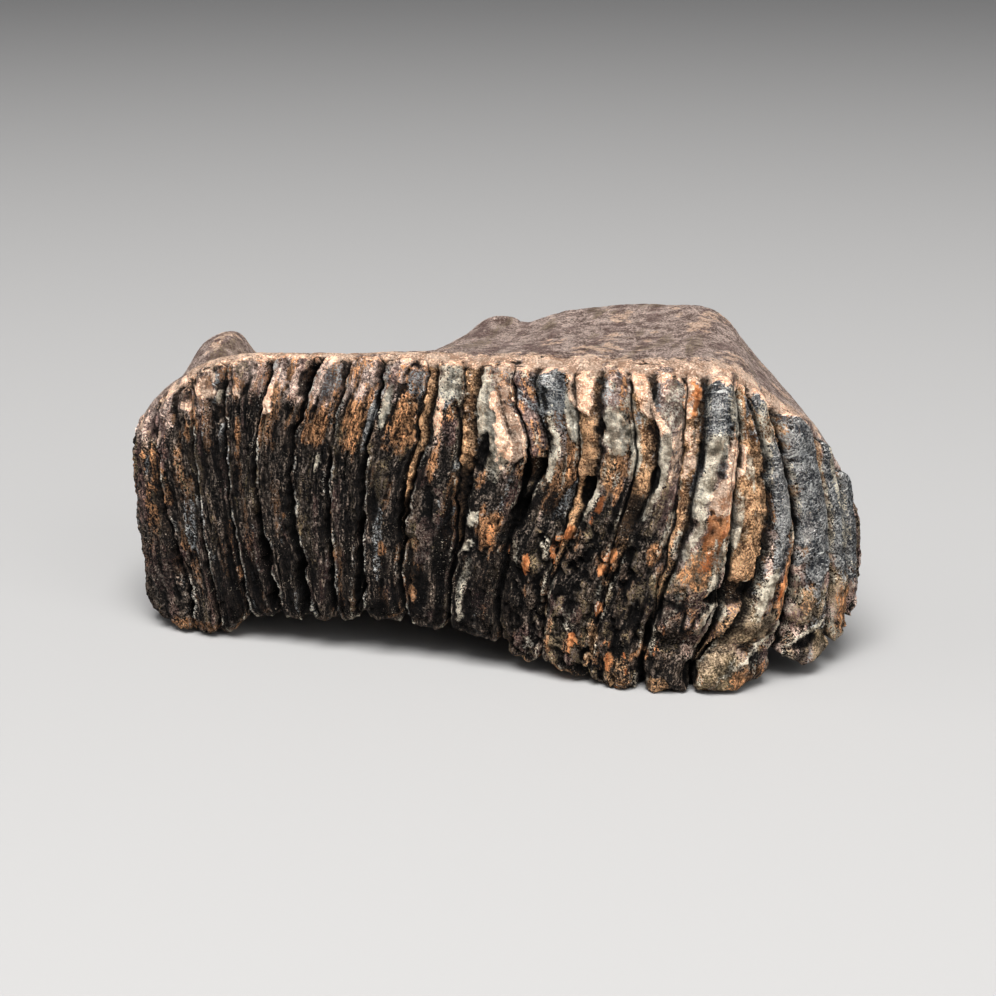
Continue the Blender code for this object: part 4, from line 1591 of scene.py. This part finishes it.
    def speckled(self, graph: Graph, colour: object, place: object, channels: Sockets) -> object:
        """Strews dark pepper over the colour, less of it on the smooth finishes, and pale glints.

        Args:
            graph: The material's graph.
            colour: The colour so far.
            place: The place on the tooth.
            channels: The painted masks, by finish.

        Returns:
            The colour with its speckle.
        """
        smooth = channels[Finish.WORN_TOP]
        for finish in self.smooth_finishes:
            smooth = graph.math("MAXIMUM", smooth, channels[finish])
        smooth = graph.ramp(smooth, 0.15, 0.6)
        pepper = graph.ramp(graph.noise(place, self.pepper_scale, 2, 0.6), 0.48, 0.37)
        pepper = graph.math("MULTIPLY", pepper, graph.math("MULTIPLY_ADD", smooth, -0.66, 0.85))
        colour = graph.mix(pepper, colour, self.pepper_tone)
        glints = graph.ramp(graph.noise(place, self.glint_scale, 1), 0.68, 0.75)
        spread = graph.ramp(graph.noise(place, self.glint_spread, 2), 0.48, 0.62)
        return graph.mix(graph.math("MULTIPLY", glints, spread), colour, self.glint_tone)

    def shaded_and_dirtied(self, graph: Graph, colour: object, grit: object, proud: object) -> object:
        """Paints shade into the hollows, which are also dirty, and paints highlights on what stands out,
        which is also worn.

        Args:
            graph: The material's graph.
            colour: The colour so far.
            grit: The tone of the grit.
            proud: How far each place stands out.

        Returns:
            The colour with its dirt and its worn edges.
        """
        proud = graph.math("MULTIPLY_ADD", grit, self.grit_share, proud)
        # Painted shade where a place lies below its surroundings, painted highlight where it stands out.
        dirt_and_shade = graph.math("MULTIPLY", graph.ramp(proud, 0.54, 0.1), self.dirt_and_shade_cover)
        worn = graph.ramp(proud, 0.6, 0.95)
        highlighted = graph.stretch(colour, self.wear_and_highlight_gain)
        return graph.mix(dirt_and_shade, graph.mix(worn, colour, highlighted), self.dirt_and_shade_tone)

    def make_material(self) -> bpy.types.Material:
        """The material itself.

        Returns:
            A material whose colour, roughness and bump come from the layers.
        """
        material = bpy.data.materials.new("fossil_tooth")
        material.use_nodes = True
        graph = Graph(material.node_tree)
        place = graph.node("ShaderNodeTexCoord").outputs["Object"]
        grown = graph.node("ShaderNodeAttribute", attribute_name=GROWN_NAME).outputs["Vector"]
        inputs = {"Vector": place, "Grown": grown}
        grain = graph.node("ShaderNodeGroup", inputs, node_tree=self.grain_group)
        tones = {name.lower(): grain.outputs[name] for name in self.grains}
        painted = [channel for name in MASK_NAMES for channel in graph.channels(name)]
        channels = dict(zip(Finish, painted))
        colour, roughness = self.layered(graph, tones, channels)
        colour = self.speckled(graph, colour, place, channels)
        # Painted shade in the hollows and painted highlights on what stands out.
        colour = self.shaded_and_dirtied(graph, colour, tones["grit"], channels[Finish.PROUD])
        height = graph.blend(0.5, tones["strand"], tones["grit"])
        inputs = {"Strength": 1, "Distance": self.bump_depth, "Height": height}
        bump = graph.node("ShaderNodeBump", inputs)
        shader = graph.tree.nodes["Principled BSDF"].inputs
        graph.feed(shader["Base Color"], colour)
        graph.feed(shader["Roughness"], roughness)
        graph.feed(shader["Normal"], bump.outputs["Normal"])
        graph.feed(shader["Specular IOR Level"], self.specular)
        return material


@dataclass
class Studio:
    """The pale floor, the soft lights and the camera.

    A light is given by its name, its azimuth and elevation around the tooth, its size and its power.
    """

    target: Triple = (0.0088, -0.0258, 0.046)
    distance: float = 0.62
    azimuth: float = 16
    elevation: float = 17
    lens: float = 82.9
    nearest_seen: float = 0.02
    light_distance: float = 2.2
    lights: tuple[tuple[str, float, float, float, float], ...] = (
        ("key_light", 8, 62, 1.3, 88),
        ("front_fill", 50, 30, 1.6, 16),
        ("left_fill", -65, 34, 1.5, 5),
    )
    sky: Colour = (0.9, 0.93, 1, 1)
    sky_strength: float = 0.13
    floor_size: float = 6
    floor_height: float = -0.0004
    floor_paint: Colour = (0.42, 0.412, 0.404, 1)
    floor_roughness: float = 0.9

    def direction(self, azimuth: float, elevation: float) -> Vector:
        """The direction from the target to a place around it."""
        turn, rise = math.radians(azimuth), math.radians(elevation)
        return Vector((math.sin(turn) * math.cos(rise), -math.cos(turn) * math.cos(rise), math.sin(rise)))

    def place(
        self, name: str, thing: bpy.types.ID, azimuth: float, elevation: float, distance: float
    ) -> bpy.types.Object:
        """Puts a light or the camera around the target and turns it to face it.

        Args:
            name: The object's name.
            thing: The light's or the camera's data.
            azimuth: Degrees round the tooth from its near side.
            elevation: Degrees up from the floor.
            distance: Metres from the target.

        Returns:
            The object that holds it.
        """
        holder = bpy.data.objects.new(name, thing)
        bpy.context.scene.collection.objects.link(holder)
        back = self.direction(azimuth, elevation)
        holder.location = Vector(self.target) + back * distance
        holder.rotation_euler = back.to_track_quat("Z", "Y").to_euler()
        return holder

    def build_floor(self) -> None:
        """Builds the floor, just under the tooth."""
        bpy.ops.object.select_all(action="DESELECT")
        bpy.ops.mesh.primitive_plane_add(size=self.floor_size, location=(0, 0, self.floor_height))
        floor = bpy.context.active_object
        floor.name = "floor"
        paint = bpy.data.materials.new("pale_floor")
        paint.use_nodes = True
        shader = paint.node_tree.nodes["Principled BSDF"]
        shader.inputs["Base Color"].default_value = self.floor_paint
        shader.inputs["Roughness"].default_value = self.floor_roughness
        floor.data.materials.append(paint)

    def build_lights(self) -> None:
        """Builds the soft square lights and the light of the backdrop."""
        for name, azimuth, elevation, size, watts in self.lights:
            lamp = bpy.data.lights.new(name, "AREA")
            lamp.size = size
            lamp.energy = watts
            self.place(name, lamp, azimuth, elevation, self.light_distance)
        world = bpy.data.worlds.new("studio")
        world.use_nodes = True
        backdrop = world.node_tree.nodes["Background"].inputs
        backdrop["Color"].default_value = self.sky
        backdrop["Strength"].default_value = self.sky_strength
        bpy.context.scene.world = world

    def build(self) -> None:
        """Builds the floor, the lights and the camera."""
        self.build_floor()
        self.build_lights()
        bpy.context.scene.view_settings.view_transform = "Standard"
        camera = bpy.data.cameras.new("camera")
        camera.lens = self.lens
        camera.clip_start = self.nearest_seen
        bpy.context.scene.camera = self.place(
            "camera", camera, self.azimuth, self.elevation, self.distance
        )


def main() -> None:
    """Builds the tooth plate by plate, then the studio."""
    logging.basicConfig(level=logging.INFO, format="%(message)s")
    form = Form()
    weathering = Weathering(form, Noise(NOISE_SEED))
    finish = FossilMaterial()
    for number in range(form.plates):
        slab = PlateSlab(number, form, weathering).build()
        slab.data.materials.append(finish.material)
        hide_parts(NODE)
        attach(slab, BODY)
        log.info("%s: %d faces", slab.name, len(slab.data.polygons))
    Studio().build()


if __name__ == "__main__":
    main()
